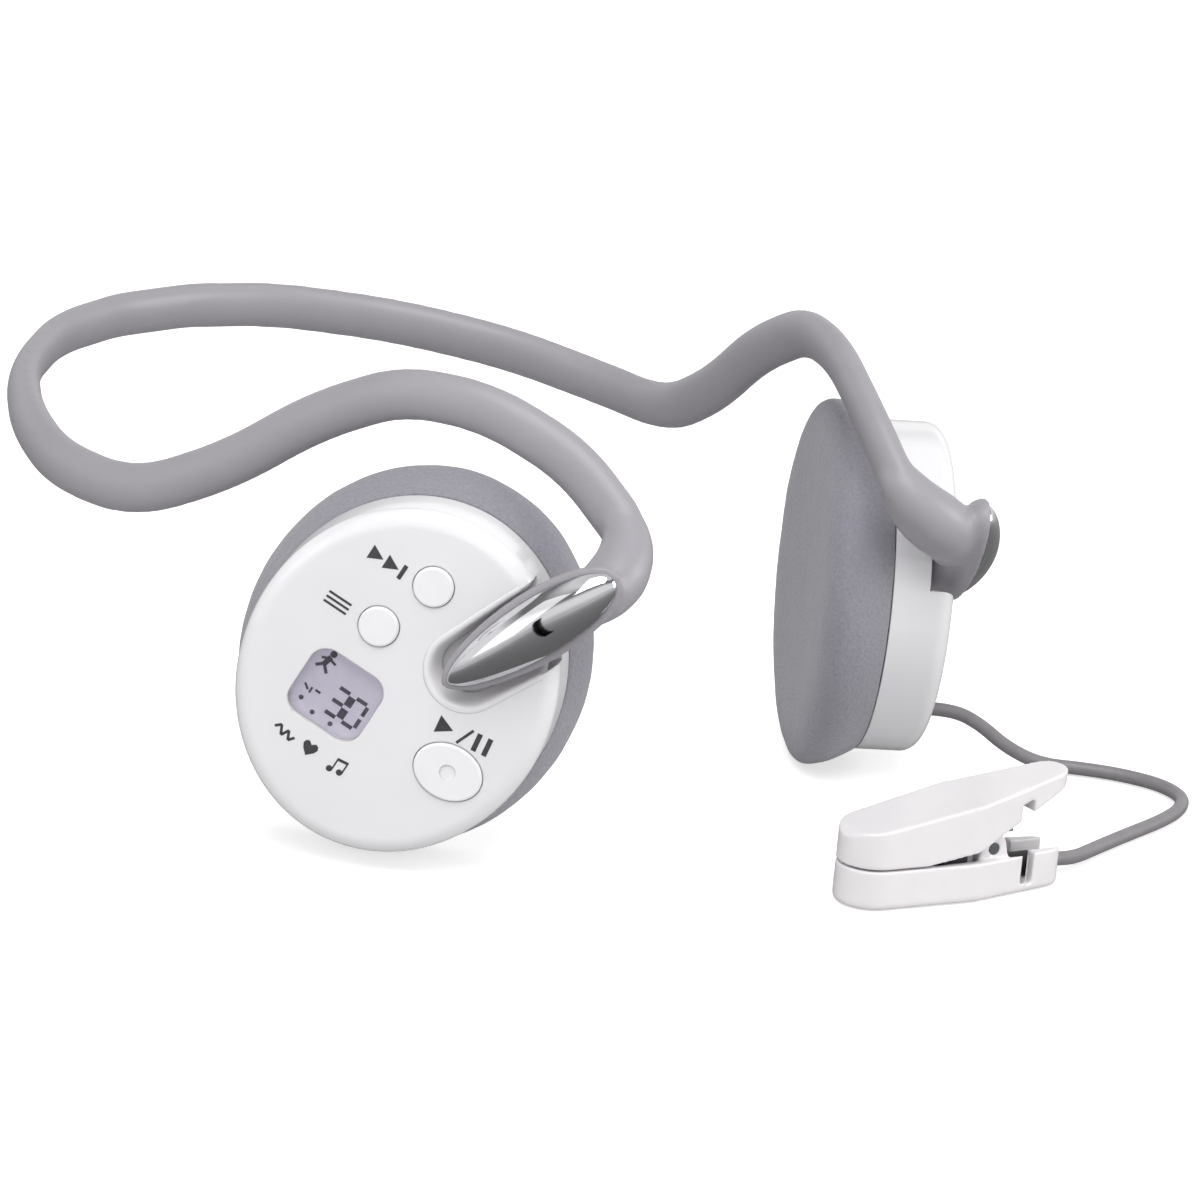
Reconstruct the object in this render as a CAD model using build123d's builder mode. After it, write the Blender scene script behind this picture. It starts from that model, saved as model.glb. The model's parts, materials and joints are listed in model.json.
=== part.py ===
"""Behind-the-neck headphones with a built-in audio player and an ear-clip pulse sensor.

Row frame: +Z up, +X towards the wearer's left, -Y towards the wearer's front.
The two cups stand on the XY plane; the origin is under the middle of the headset.
Millimetres throughout.
"""
from build123d import *
from math import cos, radians, sin, tan
import os

os.makedirs("parts", exist_ok=True)

# ---------------------------------------------------------------- driving dimensions
# layout of the two cups
cup_half_span = 42.9        # middle of the headset to the middle of each ear pad
cup_forward = -38.5         # row Y of both ear-pad centres
toe_angle = 36.4            # each cup's outer face is turned this far towards the front
oval_lean = 21.0            # the ovals' long axes lean forward at the top

# ear pad and housing, measured along the cup's axis from the pad's widest ring
pad_long = 30.5             # semi-axis
pad_short = 26.6
pad_crown = 2.2             # foam standing in front of the widest ring
pad_lip = 2.9               # how far the foam tapers in towards the housing
housing_long = 27.4
housing_short = 24.0
seam_level = 8.2            # parting line between baffle and outer shell
face_level = 18.2           # outer face of the housing
shell_wall = 1.6
face_wall = 1.8
rim_round = 2.6
seam_gap = 0.15
soft_gap = 0.3

# pod: the teardrop at the end of each arm, lying on the cup's outer face
pod_tip = (10.6, 3.6)       # forward, up from the cup's axis
pod_top = (28.6, 17.8)
pod_tip_radius = 3.6
pod_top_radius = 5.0
pod_rim_level = 20.4
cap_rise = 3.8
cap_slope = 20.0
cap_inset = 1.0
recess_clearance = 2.2
recess_floor = 14.0
recess_floor_wall = 1.6
recess_gap = 0.4            # under the pod

# cup pivot
pivot_at = (13.4, 5.8)
pivot_radius = 2.5
pivot_clearance = 0.05
washer_thickness = 0.5
washer_radius = 3.9
screw_head_radius = 1.9
screw_head_height = 1.0
screw_shank_radius = 0.95

# band
band_tall = 7.6
band_thick = 4.8
band_lean = 12.0            # the band's top edge leans in towards the neck
spring_radius = 0.85
lead_radius = 0.7
bore_offset = 1.7           # spring and lead lie above and below the band's middle
bore_clearance = 0.1
knuckle_radius = 3.0
knuckle_gap = 0.15
knuckle_height = 8.6

# controls, in the right cup's face (forward, up)
next_at = (4.6, 15.9)
set_at = (-3.1, 8.7)
play_at = (9.3, -12.3)
small_button_radius = 3.1
play_button_long = 10.8
play_button_short = 8.6
play_button_turn = -19.0
button_gap = 0.12
button_travel = 0.6
button_proud = 0.5
button_flange = 0.9
button_flange_thickness = 0.9
window_at = (-8.7, -2.9)
window_width = 12.6
window_height = 11.8
window_corner = 3.0
window_turn = -27.0
window_recess = 0.9
window_overlap = 1.0
window_flange = 0.7

# electronics
board_level = 10.3
board_thickness = 1.0
board_inset = 2.0
board_hole_gap = 0.15
lcd_thickness = 1.4
switch_size = 6.0
switch_height = 1.6
plunger_radius = 1.6
chip_height = 1.0
usb_at = 2.0                # forward of the cup's axis
usb_width = 7.7
usb_height = 3.9
usb_depth = 7.0
usb_wall = 0.5
battery_at = (-6.5, -3.0)
battery_width = 17.0
battery_height = 22.0
battery_thickness = 4.6
sensor_board_at = (8.2, -10.5)
sensor_board_width = 12.5
sensor_board_height = 11.0

# driver (loudspeaker); levels run outward from the wearer's ear
driver_radius = 15.0
driver_seat = 3.4           # level of the baffle's outer side, where the driver sits
baffle_plate = 1.6
driver_rim = 2.0
driver_frame_depth = 2.8
yoke_radius = 8.8
yoke_depth = 4.2
yoke_wall = 1.2
magnet_radius = 5.9
coil_radius = 6.7
coil_wall = 0.4
cone_thickness = 0.3
grille_thickness = 0.5
grille_radius = 12.6
grille_ledge = 1.4
grille_hole = 0.75
grille_pitch = 3.2

# shell screws, common to both cups (forward, up)
shell_screw_places = [(17.2, -6.6), (-12.5, 14.0), (-10.0, -17.2)]
boss_radius = 2.2
boss_bore = 0.8
shell_screw_radius = 0.75
shell_screw_head = 1.5

# sensor cord
cord_radius = 1.1
gland_at = (-4.0, -21.3)    # in the left cup's face
gland_radius = 2.0
gland_bore_radius = 1.15
gland_rise = 3.2

# ear clip, lying on the floor; its own frame runs from jaws (-x) to handles (+x)
clip_centre = (16.6, -97.0)
clip_yaw = -11.0
clip_length = 40.0
clip_width = 12.5
clip_base_height = 6.2
clip_wall = 1.4
clip_hinge_x = 5.0
clip_hinge_z = 7.8
clip_pin_radius = 0.9
clip_pin_clearance = 0.05
clip_jaw_gap = 0.3
clip_jaw_top = 12.0         # height of the upper lever over the jaws
clip_handle_top = 18.7      # and at the end of its handle
ear_thickness = 1.8
ear_radius = 2.4
ear_gap = 0.25
lug_thickness = 0.8
spring_wire = 0.35
spring_coil_radius = 1.6
optic_radius = 1.5
optic_depth = 2.0
relief_radius = 1.8
relief_length = 6.0

# ---------------------------------------------------------------- cup frames
pad_drop = ((pad_long * cos(radians(oval_lean))) ** 2 + (pad_short * sin(radians(oval_lean))) ** 2) ** 0.5
cup_height = pad_drop       # the pads' lowest edges touch the XY plane
toe_cos = cos(radians(toe_angle))
toe_sin = sin(radians(toe_angle))

# each cup's plane: z out through its outer face, y up, x forward (right cup) or rearward (left cup)
cups = {
    "right": Plane(origin=(-cup_half_span, cup_forward, cup_height), x_dir=(toe_sin, -toe_cos, 0),
                   z_dir=(-toe_cos, -toe_sin, 0)),
    "left": Plane(origin=(cup_half_span, cup_forward, cup_height), x_dir=(toe_sin, toe_cos, 0),
                  z_dir=(toe_cos, -toe_sin, 0)),
}
forwards = {"right": 1, "left": -1}


def spot(place, side):
    """A (forward, up) place on a cup as local coordinates of that cup's plane."""
    return (forwards[side] * place[0], place[1])


def turned_plane(cup, place, turn):
    """A plane at a place on a cup, turned in its own face."""
    x_dir = cup.x_dir * cos(radians(turn)) + cup.y_dir * sin(radians(turn))
    return Plane(origin=cup.from_local_coords(Vector(*place, 0)), x_dir=x_dir, z_dir=cup.z_dir)


def midway(place_a, place_b, share):
    """The place a given share of the way from one place to another."""
    return tuple(a + (b - a) * share for a, b in zip(place_a, place_b))


def bend_radii(points):
    """The largest tidy arc for each corner of a route: 0.45 of its shorter run over tan(half turn)."""
    radii = []
    for before, corner, after in zip(points, points[1:], points[2:]):
        run_in = Vector(*corner) - Vector(*before)
        run_out = Vector(*after) - Vector(*corner)
        half_turn = radians(run_in.get_angle(run_out) / 2)
        radii.append(0.45 * min(run_in.length, run_out.length) / tan(half_turn))
    return radii


def outward(cup):
    """The cup's own axis, for picking its lowest and highest faces."""
    return Axis(cup.origin, cup.z_dir)


# ---------------------------------------------------------------- ear pads, baffles, grilles
baffle_inset = 1.2          # the pad's lip turns in round the baffle
baffle_level = driver_seat - baffle_plate
baffle_short = housing_short - baffle_inset
baffle_long = housing_long - baffle_inset
screw_seat = baffle_level + 1.2

for side, cup in cups.items():
    lean = -oval_lean * forwards[side]
    screw_spots = [spot(place, side) for place in shell_screw_places]

    # foam pad: a sock of soft foam over the front of the cup, turned in round the baffle's edge
    with BuildPart() as pad:
        with BuildSketch(cup.offset(-pad_crown)):
            Ellipse(pad_short, pad_long, rotation=lean)
        extrude(amount=pad_crown + seam_level)
        fillet(pad.faces().sort_by(outward(cup))[0].edges(), pad_crown)
        chamfer(pad.faces().sort_by(outward(cup))[-1].edges(), pad_lip)
        with BuildSketch(cup.offset(baffle_level - soft_gap)):
            Ellipse(baffle_short + soft_gap, baffle_long + soft_gap, rotation=lean)
        extrude(amount=seam_level, mode=Mode.SUBTRACT)
    pad.part.label = f"{side}_ear_pad"
    export_step(pad.part, f"parts/{side}_ear_pad.step")

    # baffle: moulded dish that carries the driver and closes the housing towards the ear
    with BuildPart() as baffle:
        with BuildSketch(cup.offset(baffle_level)):
            Ellipse(baffle_short, baffle_long, rotation=lean)
        extrude(amount=seam_level - baffle_level)
        with BuildSketch(cup.offset(driver_seat)):
            Ellipse(baffle_short - shell_wall, baffle_long - shell_wall, rotation=lean)
        extrude(amount=seam_level, mode=Mode.SUBTRACT)
        with BuildSketch(cup.offset(driver_seat)):
            with Locations(*screw_spots):
                Circle(boss_radius)
        extrude(amount=seam_level - driver_seat)
        with BuildSketch(cup.offset(baffle_level)):
            Circle(grille_radius + seam_gap)
        extrude(amount=grille_thickness, mode=Mode.SUBTRACT)
        with BuildSketch(cup.offset(baffle_level)):
            Circle(grille_radius - grille_ledge)
            with Locations(*screw_spots):
                Circle(shell_screw_radius + seam_gap)
        extrude(amount=seam_level, mode=Mode.SUBTRACT)
        with BuildSketch(cup.offset(baffle_level)):
            with Locations(*screw_spots):
                Circle(shell_screw_head + seam_gap)
        extrude(amount=screw_seat - baffle_level, mode=Mode.SUBTRACT)
    baffle.part.label = f"{side}_baffle"
    export_step(baffle.part, f"parts/{side}_baffle.step")

    # grille: perforated steel disc pressed into the baffle's front
    with BuildPart() as grille:
        with BuildSketch(cup.offset(baffle_level)):
            Circle(grille_radius)
            for ring in range(4):
                with PolarLocations(ring * grille_pitch, max(1, ring * 6)):
                    Circle(grille_hole, mode=Mode.SUBTRACT)
        extrude(amount=grille_thickness)
    grille.part.label = f"{side}_driver_grille"
    export_step(grille.part, f"parts/{side}_driver_grille.step")

# ---------------------------------------------------------------- drivers
frame_back = driver_seat + driver_frame_depth
yoke_start = frame_back - 1.2
yoke_end = yoke_start + yoke_depth
magnet_start = yoke_start + 0.6

for side, cup in cups.items():
    # driver frame: moulded basket, its back plate vented and bored for the yoke
    with BuildPart() as frame:
        with BuildSketch(cup.offset(driver_seat)):
            Circle(driver_radius)
        extrude(amount=driver_frame_depth)
        with BuildSketch(cup.offset(driver_seat)):
            Circle(driver_radius - driver_rim)
        extrude(amount=driver_frame_depth - 1.0, mode=Mode.SUBTRACT)
        with BuildSketch(cup.offset(driver_seat)):
            Circle(yoke_radius + seam_gap / 3)
            with PolarLocations((yoke_radius + driver_radius - driver_rim) / 2, 6):
                Circle(1.2)
        extrude(amount=driver_frame_depth, mode=Mode.SUBTRACT)
    frame.part.label = f"{side}_driver_frame"
    export_step(frame.part, f"parts/{side}_driver_frame.step")

    # yoke: pressed steel pot round the magnet
    with BuildPart() as yoke:
        with BuildSketch(cup.offset(yoke_start)):
            Circle(yoke_radius)
        extrude(amount=yoke_depth)
        with BuildSketch(cup.offset(yoke_start)):
            Circle(yoke_radius - yoke_wall)
        extrude(amount=yoke_depth - yoke_wall, mode=Mode.SUBTRACT)
    yoke.part.label = f"{side}_driver_yoke"
    export_step(yoke.part, f"parts/{side}_driver_yoke.step")

    # magnet: neodymium disc on the yoke's floor
    with BuildPart() as magnet:
        with BuildSketch(cup.offset(magnet_start)):
            Circle(magnet_radius)
        extrude(amount=yoke_end - yoke_wall - magnet_start)
    magnet.part.label = f"{side}_driver_magnet"
    export_step(magnet.part, f"parts/{side}_driver_magnet.step")

    # voice coil: a short tube of wire in the gap between magnet and yoke
    with BuildPart() as coil:
        with BuildSketch(cup.offset(yoke_start)):
            Circle(coil_radius + coil_wall)
            Circle(coil_radius, mode=Mode.SUBTRACT)
        extrude(amount=yoke_depth - yoke_wall - 0.8)
    coil.part.label = f"{side}_voice_coil"
    export_step(coil.part, f"parts/{side}_voice_coil.step")

    # diaphragm: film with a domed middle over the coil and a cone out to the frame's rim
    coil_top = yoke_start - 0.1
    cone_edge = driver_radius - driver_rim - seam_gap
    with BuildPart() as cone:
        with BuildSketch(cup.offset(driver_seat + 0.3)):
            Circle(cone_edge)
        extrude(amount=cone_thickness)
        with BuildSketch(cup.offset(driver_seat + 0.3 + cone_thickness)):
            Circle(coil_radius + 0.9)
        extrude(amount=coil_top - driver_seat - 0.3 - cone_thickness, taper=25)
        with BuildSketch(cup.offset(driver_seat + 0.3)):
            Circle(coil_radius + 0.3)
        extrude(amount=coil_top - driver_seat - 0.3 - cone_thickness, taper=25, mode=Mode.SUBTRACT)
    cone.part.label = f"{side}_diaphragm"
    export_step(cone.part, f"parts/{side}_diaphragm.step")

# ---------------------------------------------------------------- outer shells
inner_face = face_level - face_wall
recess_half_tip = pod_tip_radius + recess_clearance
recess_half_top = pod_top_radius + recess_clearance
recess_end = midway(pod_tip, pod_top, 1.6)      # well beyond the rim
board_top = board_level + board_thickness
boss_step = boss_radius - 0.6

shells = {}
for side, cup in cups.items():
    lean = -oval_lean * forwards[side]
    tip = spot(pod_tip, side)
    end = spot(recess_end, side)
    pivot = spot(pivot_at, side)
    screw_spots = [spot(place, side) for place in shell_screw_places]

    # the housing's outside, before anything is cut away
    with BuildPart() as outside:
        with BuildSketch(cup.offset(seam_level)):
            Ellipse(housing_short, housing_long, rotation=lean)
        extrude(amount=face_level - seam_level)
        fillet(outside.faces().sort_by(outward(cup))[-1].edges(), rim_round)

    # the tub that the pod lies in: floor and side wall
    with BuildPart() as tub:
        with BuildSketch(cup.offset(recess_floor - recess_floor_wall)):
            with Locations(tip):
                Circle(recess_half_tip + shell_wall)
            with Locations(end):
                Circle(recess_half_top + shell_wall)
            make_hull()
        extrude(amount=face_level)
        add(outside.part, mode=Mode.INTERSECT)

    with BuildPart() as shell:
        add(outside.part)
        with BuildSketch(cup.offset(seam_level)):
            Ellipse(housing_short - shell_wall, housing_long - shell_wall, rotation=lean)
        extrude(amount=inner_face - seam_level, mode=Mode.SUBTRACT)
        with BuildSketch(cup.offset(seam_level)):
            with Locations(*screw_spots):
                Circle(boss_step)
        extrude(amount=inner_face - seam_level)
        with BuildSketch(cup.offset(board_top)):
            with Locations(*screw_spots):
                Circle(boss_radius)
        extrude(amount=inner_face - board_top)
        add(tub.part)
        with BuildSketch(cup.offset(recess_floor)):
            with Locations(tip):
                Circle(recess_half_tip)
            with Locations(end):
                Circle(recess_half_top)
            make_hull()
        extrude(amount=face_level, mode=Mode.SUBTRACT)
        with BuildSketch(cup.offset(seam_level)):
            with Locations(pivot):
                Circle(pivot_radius + pivot_clearance)
        extrude(amount=face_level - seam_level, mode=Mode.SUBTRACT)
        with BuildSketch(cup.offset(seam_level)):
            with Locations(*screw_spots):
                Circle(boss_bore)
        extrude(amount=board_top - seam_level + 1.5, mode=Mode.SUBTRACT)
    shells[side] = shell

    # three small screws hold baffle and shell together
    with BuildPart() as screws:
        with BuildSketch(cup.offset(screw_seat - 1.0)):
            with Locations(*screw_spots):
                Circle(shell_screw_head)
        extrude(amount=1.0)
        with BuildSketch(cup.offset(screw_seat)):
            with Locations(*screw_spots):
                Circle(shell_screw_radius)
        extrude(amount=board_top - screw_seat)
    screws.part.label = f"{side}_shell_screws"
    export_step(screws.part, f"parts/{side}_shell_screws.step")

# right shell: the player's face, with its window, three buttons and charging socket
right = cups["right"]
window_plane = turned_plane(right, window_at, window_turn)
play_plane = turned_plane(right, play_at, play_button_turn)
usb_mid = board_top + usb_height / 2
usb_mouth = housing_long * cos(radians(oval_lean)) - 0.2

with BuildPart() as right_shell:
    add(shells["right"].part)
    with BuildSketch(right.offset(seam_level)):
        with Locations(next_at, set_at):
            Circle(small_button_radius + button_gap)
    extrude(amount=face_level, mode=Mode.SUBTRACT)
    with BuildSketch(play_plane.offset(seam_level)):
        Ellipse(play_button_long / 2 + button_gap, play_button_short / 2 + button_gap)
    extrude(amount=face_level, mode=Mode.SUBTRACT)
    with BuildSketch(window_plane.offset(seam_level)):
        RectangleRounded(window_width, window_height, window_corner)
    extrude(amount=face_level, mode=Mode.SUBTRACT)
    with BuildSketch(right.offset(board_top - seam_gap)):
        with Locations((usb_at, -usb_mouth)):
            Rectangle(usb_width + 2 * seam_gap, 2 * usb_depth)
    extrude(amount=usb_height + 2 * seam_gap, mode=Mode.SUBTRACT)
right_shell.part.label = "right_outer_shell"
export_step(right_shell.part, "parts/right_outer_shell.step")

# left shell: plain face, bored for the sensor cord's strain relief
left = cups["left"]
gland_spot = spot(gland_at, "left")
sensor_spot = spot(sensor_board_at, "left")
post_spots = [(sensor_spot[0] + x, sensor_spot[1] + y)
              for x in (-sensor_board_width / 2 + 1.4, sensor_board_width / 2 - 1.4)
              for y in (-sensor_board_height / 2 + 1.4, sensor_board_height / 2 - 1.4)]
with BuildPart() as left_shell:
    add(shells["left"].part)
    with BuildSketch(left.offset(board_top)):
        with Locations(*post_spots):
            Circle(1.1)
    extrude(amount=inner_face - board_top)
    with BuildSketch(left.offset(seam_level)):
        with Locations(gland_spot):
            Circle(gland_radius)
    extrude(amount=face_level, mode=Mode.SUBTRACT)
left_shell.part.label = "left_outer_shell"
export_step(left_shell.part, "parts/left_outer_shell.step")

# ---------------------------------------------------------------- band
# the arm's route on the left side, from the pod over the ear to the middle of the neck
arm_route = [
    (41.0, -68.7, 45.7),
    (36.2, -70.8, 46.8),
    (32.2, -69.9, 49.5),
    (29.4, -66.9, 55.0),
    (31.6, -56.7, 63.6),
    (37.6, -43.7, 69.2),
    (43.4, -30.9, 69.4),
    (47.6, -16.9, 62.2),
    (52.4, -3.3, 51.4),
    (57.6, 11.7, 43.6),
    (58.4, 28.7, 44.0),
    (52.2, 44.1, 46.6),
    (40.6, 59.5, 48.8),
    (23.6, 71.1, 50.6),
    (8.0, 74.6, 51.2),
    (0.0, 74.6, 51.2),
]
band_middle = Vector(*arm_route[-1])
left_route = list(reversed(arm_route))
right_route = [(-x, y, z) for x, y, z in left_route]
lean_up = (0, -sin(radians(band_lean)), cos(radians(band_lean)))
covers = {}
halves = (("right", right_route, (-1, 0, 0)), ("left", left_route, (1, 0, 0)))
print("band radii", [round(radius, 1) for radius in bend_radii(left_route)])

# covers: soft grey mouldings, oval in section, bored for the spring and the audio lead; they meet
# in an upright knuckle behind the neck, round on the right half and hollow on the left
for side, route, along in halves:
    with BuildPart() as cover:
        with BuildLine():
            FilletPolyline(*route, radius=bend_radii(route))
        with BuildSketch(Plane(origin=band_middle, x_dir=lean_up, z_dir=along)):
            Ellipse(band_tall / 2, band_thick / 2)
        sweep()
        with BuildSketch(Plane(origin=band_middle - Vector(0, 0, knuckle_height / 2), z_dir=(0, 0, 1))):
            Circle(knuckle_radius if side == "right" else knuckle_radius + knuckle_gap)
        extrude(amount=knuckle_height, mode=Mode.ADD if side == "right" else Mode.SUBTRACT)
    with BuildPart() as bores:
        with BuildLine():
            FilletPolyline(*route, radius=bend_radii(route))
        with BuildSketch(Plane(origin=band_middle, x_dir=lean_up, z_dir=along)):
            with Locations((bore_offset, 0)):
                Circle(spring_radius + bore_clearance)
            with Locations((-bore_offset, 0)):
                Circle(lead_radius + bore_clearance)
        sweep()
        with BuildSketch(Plane(origin=band_middle, x_dir=lean_up, z_dir=along)):
            with Locations((bore_offset, 0)):
                Circle(spring_radius + bore_clearance)
            with Locations((-bore_offset, 0)):
                Circle(lead_radius + bore_clearance)
        extrude(amount=-knuckle_height)
    covers[side] = cover
    with BuildPart() as bored:
        add(cover.part)
        add(bores.part, mode=Mode.SUBTRACT)
    bored.part.label = f"{side}_band_cover"
    export_step(bored.part, f"parts/{side}_band_cover.step")

# the flat spring wire and the audio lead run from pod to pod inside the covers
strands = (
    ("band_spring", bore_offset, spring_radius),
    ("band_lead", -bore_offset, lead_radius),
)
for name, offset, radius in strands:
    with BuildPart() as strand:
        for side, route, along in halves:
            with BuildLine():
                FilletPolyline(*route, radius=bend_radii(route))
            with BuildSketch(Plane(origin=band_middle, x_dir=lean_up, z_dir=along)):
                with Locations((offset, 0)):
                    Circle(radius)
            sweep()
    strand.part.label = name
    export_step(strand.part, f"parts/{name}.step")

# ---------------------------------------------------------------- pods, caps and cup pivots
pod_level = recess_floor + recess_gap
boss_end = recess_floor - recess_floor_wall - 0.1
for side, cup in cups.items():
    tip = spot(pod_tip, side)
    top = spot(pod_top, side)
    pivot = spot(pivot_at, side)

    # pod: grey soft-skinned teardrop on the end of the arm, with the cup's pivot boss under it
    with BuildPart() as pod:
        with BuildSketch(cup.offset(pod_level)):
            with Locations(tip):
                Circle(pod_tip_radius)
            with Locations(top):
                Circle(pod_top_radius)
            make_hull()
        extrude(amount=pod_rim_level - pod_level)
        fillet(pod.faces().sort_by(outward(cup))[0].edges(), 1.5)
        with BuildSketch(cup.offset(boss_end)):
            with Locations(pivot):
                Circle(pivot_radius)
        extrude(amount=pod_level - boss_end + 1.0)
        with BuildSketch(cup.offset(boss_end)):
            with Locations(pivot):
                Circle(screw_shank_radius)
        extrude(amount=5.0, mode=Mode.SUBTRACT)
        add(covers[side].part, mode=Mode.SUBTRACT)
    pod.part.label = f"{side}_pod"
    export_step(pod.part, f"parts/{side}_pod.step")

    # cap: chromed dome over the pod, a long leaf shape
    with BuildPart() as cap:
        with BuildSketch(cup.offset(pod_rim_level)):
            with Locations(tip):
                Circle(pod_tip_radius - cap_inset)
            with Locations(top):
                Circle(pod_top_radius - cap_inset)
            make_hull()
        extrude(amount=cap_rise, taper=cap_slope)
        fillet(cap.faces().sort_by(outward(cup))[-1].edges(), 0.8)
    cap.part.label = f"{side}_pod_cap"
    export_step(cap.part, f"parts/{side}_pod_cap.step")

    # washer and screw hold the pod's boss in the shell and leave it free to swivel
    with BuildPart() as washer:
        with BuildSketch(cup.offset(boss_end - washer_thickness)):
            with Locations(pivot):
                Circle(washer_radius)
                Circle(screw_shank_radius + seam_gap, mode=Mode.SUBTRACT)
        extrude(amount=washer_thickness)
    washer.part.label = f"{side}_pivot_washer"
    export_step(washer.part, f"parts/{side}_pivot_washer.step")

    with BuildPart() as screw:
        with BuildSketch(cup.offset(boss_end - washer_thickness - screw_head_height)):
            with Locations(pivot):
                Circle(screw_head_radius)
        extrude(amount=screw_head_height)
        with BuildSketch(cup.offset(boss_end - washer_thickness)):
            with Locations(pivot):
                Circle(screw_shank_radius)
        extrude(amount=washer_thickness + 4.5)
        with BuildSketch(cup.offset(boss_end - washer_thickness - screw_head_height)):
            with Locations(pivot):
                Rectangle(2.4, 0.5)
                Rectangle(0.5, 2.4)
        extrude(amount=0.5, mode=Mode.SUBTRACT)
    screw.part.label = f"{side}_pivot_screw"
    export_step(screw.part, f"parts/{side}_pivot_screw.step")

# ---------------------------------------------------------------- right cup: boards and controls
switch_top = board_top + switch_height
plunger_top = switch_top + 0.8
stem_end = plunger_top + button_travel + 0.05
flange_level = inner_face - 0.1 - button_flange_thickness
button_top = face_level + button_proud
board_boss_hole = boss_step + board_hole_gap
board_short = housing_short - shell_wall - board_inset
board_long = housing_long - shell_wall - board_inset

with BuildPart() as main_board:
    with BuildSketch(right.offset(board_level)):
        Ellipse(board_short, board_long, rotation=-oval_lean)
        with Locations(*shell_screw_places):
            Circle(board_boss_hole, mode=Mode.SUBTRACT)
        with Locations(pivot_at):
            Circle(washer_radius + 2 * soft_gap, mode=Mode.SUBTRACT)
    extrude(amount=board_thickness)
main_board.part.label = "main_board"
export_step(main_board.part, "parts/main_board.step")

# three tact switches under the buttons
with BuildPart() as switches:
    with BuildSketch(right.offset(board_top)):
        with Locations(next_at, set_at, play_at):
            Rectangle(switch_size, switch_size)
    extrude(amount=switch_height)
    with BuildSketch(right.offset(switch_top)):
        with Locations(next_at, set_at, play_at):
            Circle(plunger_radius)
    extrude(amount=plunger_top - switch_top)
switches.part.label = "tact_switches"
export_step(switches.part, "parts/tact_switches.step")

# the two round buttons
for name, place in (("next_button", next_at), ("set_button", set_at)):
    with BuildPart() as button:
        with BuildSketch(right.offset(flange_level)):
            with Locations(place):
                Circle(small_button_radius + button_flange)
        extrude(amount=button_flange_thickness)
        with BuildSketch(right.offset(stem_end)):
            with Locations(place):
                Circle(plunger_radius)
        extrude(amount=flange_level - stem_end)
        with BuildSketch(right.offset(flange_level)):
            with Locations(place):
                Circle(small_button_radius)
        extrude(amount=button_top - flange_level)
        fillet(button.faces().sort_by(outward(right))[-1].edges(), 0.4)
    button.part.label = name
    export_step(button.part, f"parts/{name}.step")

# the larger oval button, dimpled for the fingertip
with BuildPart() as play_button:
    with BuildSketch(play_plane.offset(flange_level)):
        Ellipse(play_button_long / 2 + button_flange, play_button_short / 2 + button_flange)
    extrude(amount=button_flange_thickness)
    with BuildSketch(play_plane.offset(stem_end)):
        Circle(plunger_radius)
    extrude(amount=flange_level - stem_end)
    with BuildSketch(play_plane.offset(flange_level)):
        Ellipse(play_button_long / 2, play_button_short / 2)
    extrude(amount=button_top - flange_level)
    fillet(play_button.faces().sort_by(outward(right))[-1].edges(), 0.4)
    with BuildSketch(play_plane.offset(button_top - 0.3)):
        Circle(1.2)
    extrude(amount=1.0, mode=Mode.SUBTRACT)
play_button.part.label = "play_button"
export_step(play_button.part, "parts/play_button.step")

# display: window let into the face from behind, panel, and the holder that lights it
window_top = face_level - window_recess
flange_start = inner_face - window_flange
with BuildPart() as window:
    with BuildSketch(window_plane.offset(flange_start)):
        RectangleRounded(window_width + 2 * window_overlap, window_height + 2 * window_overlap, window_corner)
    extrude(amount=window_flange)
    with BuildSketch(window_plane.offset(flange_start)):
        RectangleRounded(window_width - 0.2, window_height - 0.2, window_corner - 0.1)
    extrude(amount=window_top - flange_start)
window.part.label = "display_window"
export_step(window.part, "parts/display_window.step")

panel_start = flange_start - 0.1 - lcd_thickness
with BuildPart() as panel:
    with BuildSketch(window_plane.offset(panel_start)):
        Rectangle(window_width + 1.2, window_height + 1.2)
    extrude(amount=lcd_thickness)
panel.part.label = "lcd_panel"
export_step(panel.part, "parts/lcd_panel.step")

with BuildPart() as backlight:
    with BuildSketch(window_plane.offset(board_top)):
        Rectangle(window_width + 1.2, window_height + 1.2)
    extrude(amount=panel_start - board_top)
backlight.part.label = "lcd_backlight"
export_step(backlight.part, "parts/lcd_backlight.step")

# chips on the back of the main board
for name, place, size in (("audio_chip", (-13.0, 4.0), 6.0), ("memory_chip", (4.0, -13.0), 7.0)):
    with BuildPart() as chip:
        with BuildSketch(right.offset(board_level - chip_height)):
            with Locations(place):
                Rectangle(size, size)
        extrude(amount=chip_height)
    chip.part.label = name
    export_step(chip.part, f"parts/{name}.step")

# charging and file socket at the bottom of the rim
socket_depth_mid = usb_mouth - usb_depth / 2
with BuildPart() as socket:
    with BuildSketch(right.offset(board_top)):
        with Locations((usb_at, -socket_depth_mid)):
            Rectangle(usb_width, usb_depth)
    extrude(amount=usb_height)
    with BuildSketch(right.offset(board_top + usb_wall)):
        with Locations((usb_at, -socket_depth_mid - 1.0)):
            Rectangle(usb_width - 2 * usb_wall, usb_depth)
    extrude(amount=usb_height - 2 * usb_wall, mode=Mode.SUBTRACT)
    with BuildSketch(right.offset(usb_mid - 0.4)):
        with Locations((usb_at, -socket_depth_mid + 0.6)):
            Rectangle(usb_width - 4 * usb_wall, usb_depth - 2.0)
    extrude(amount=0.8)
socket.part.label = "usb_socket"
export_step(socket.part, "parts/usb_socket.step")

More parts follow.
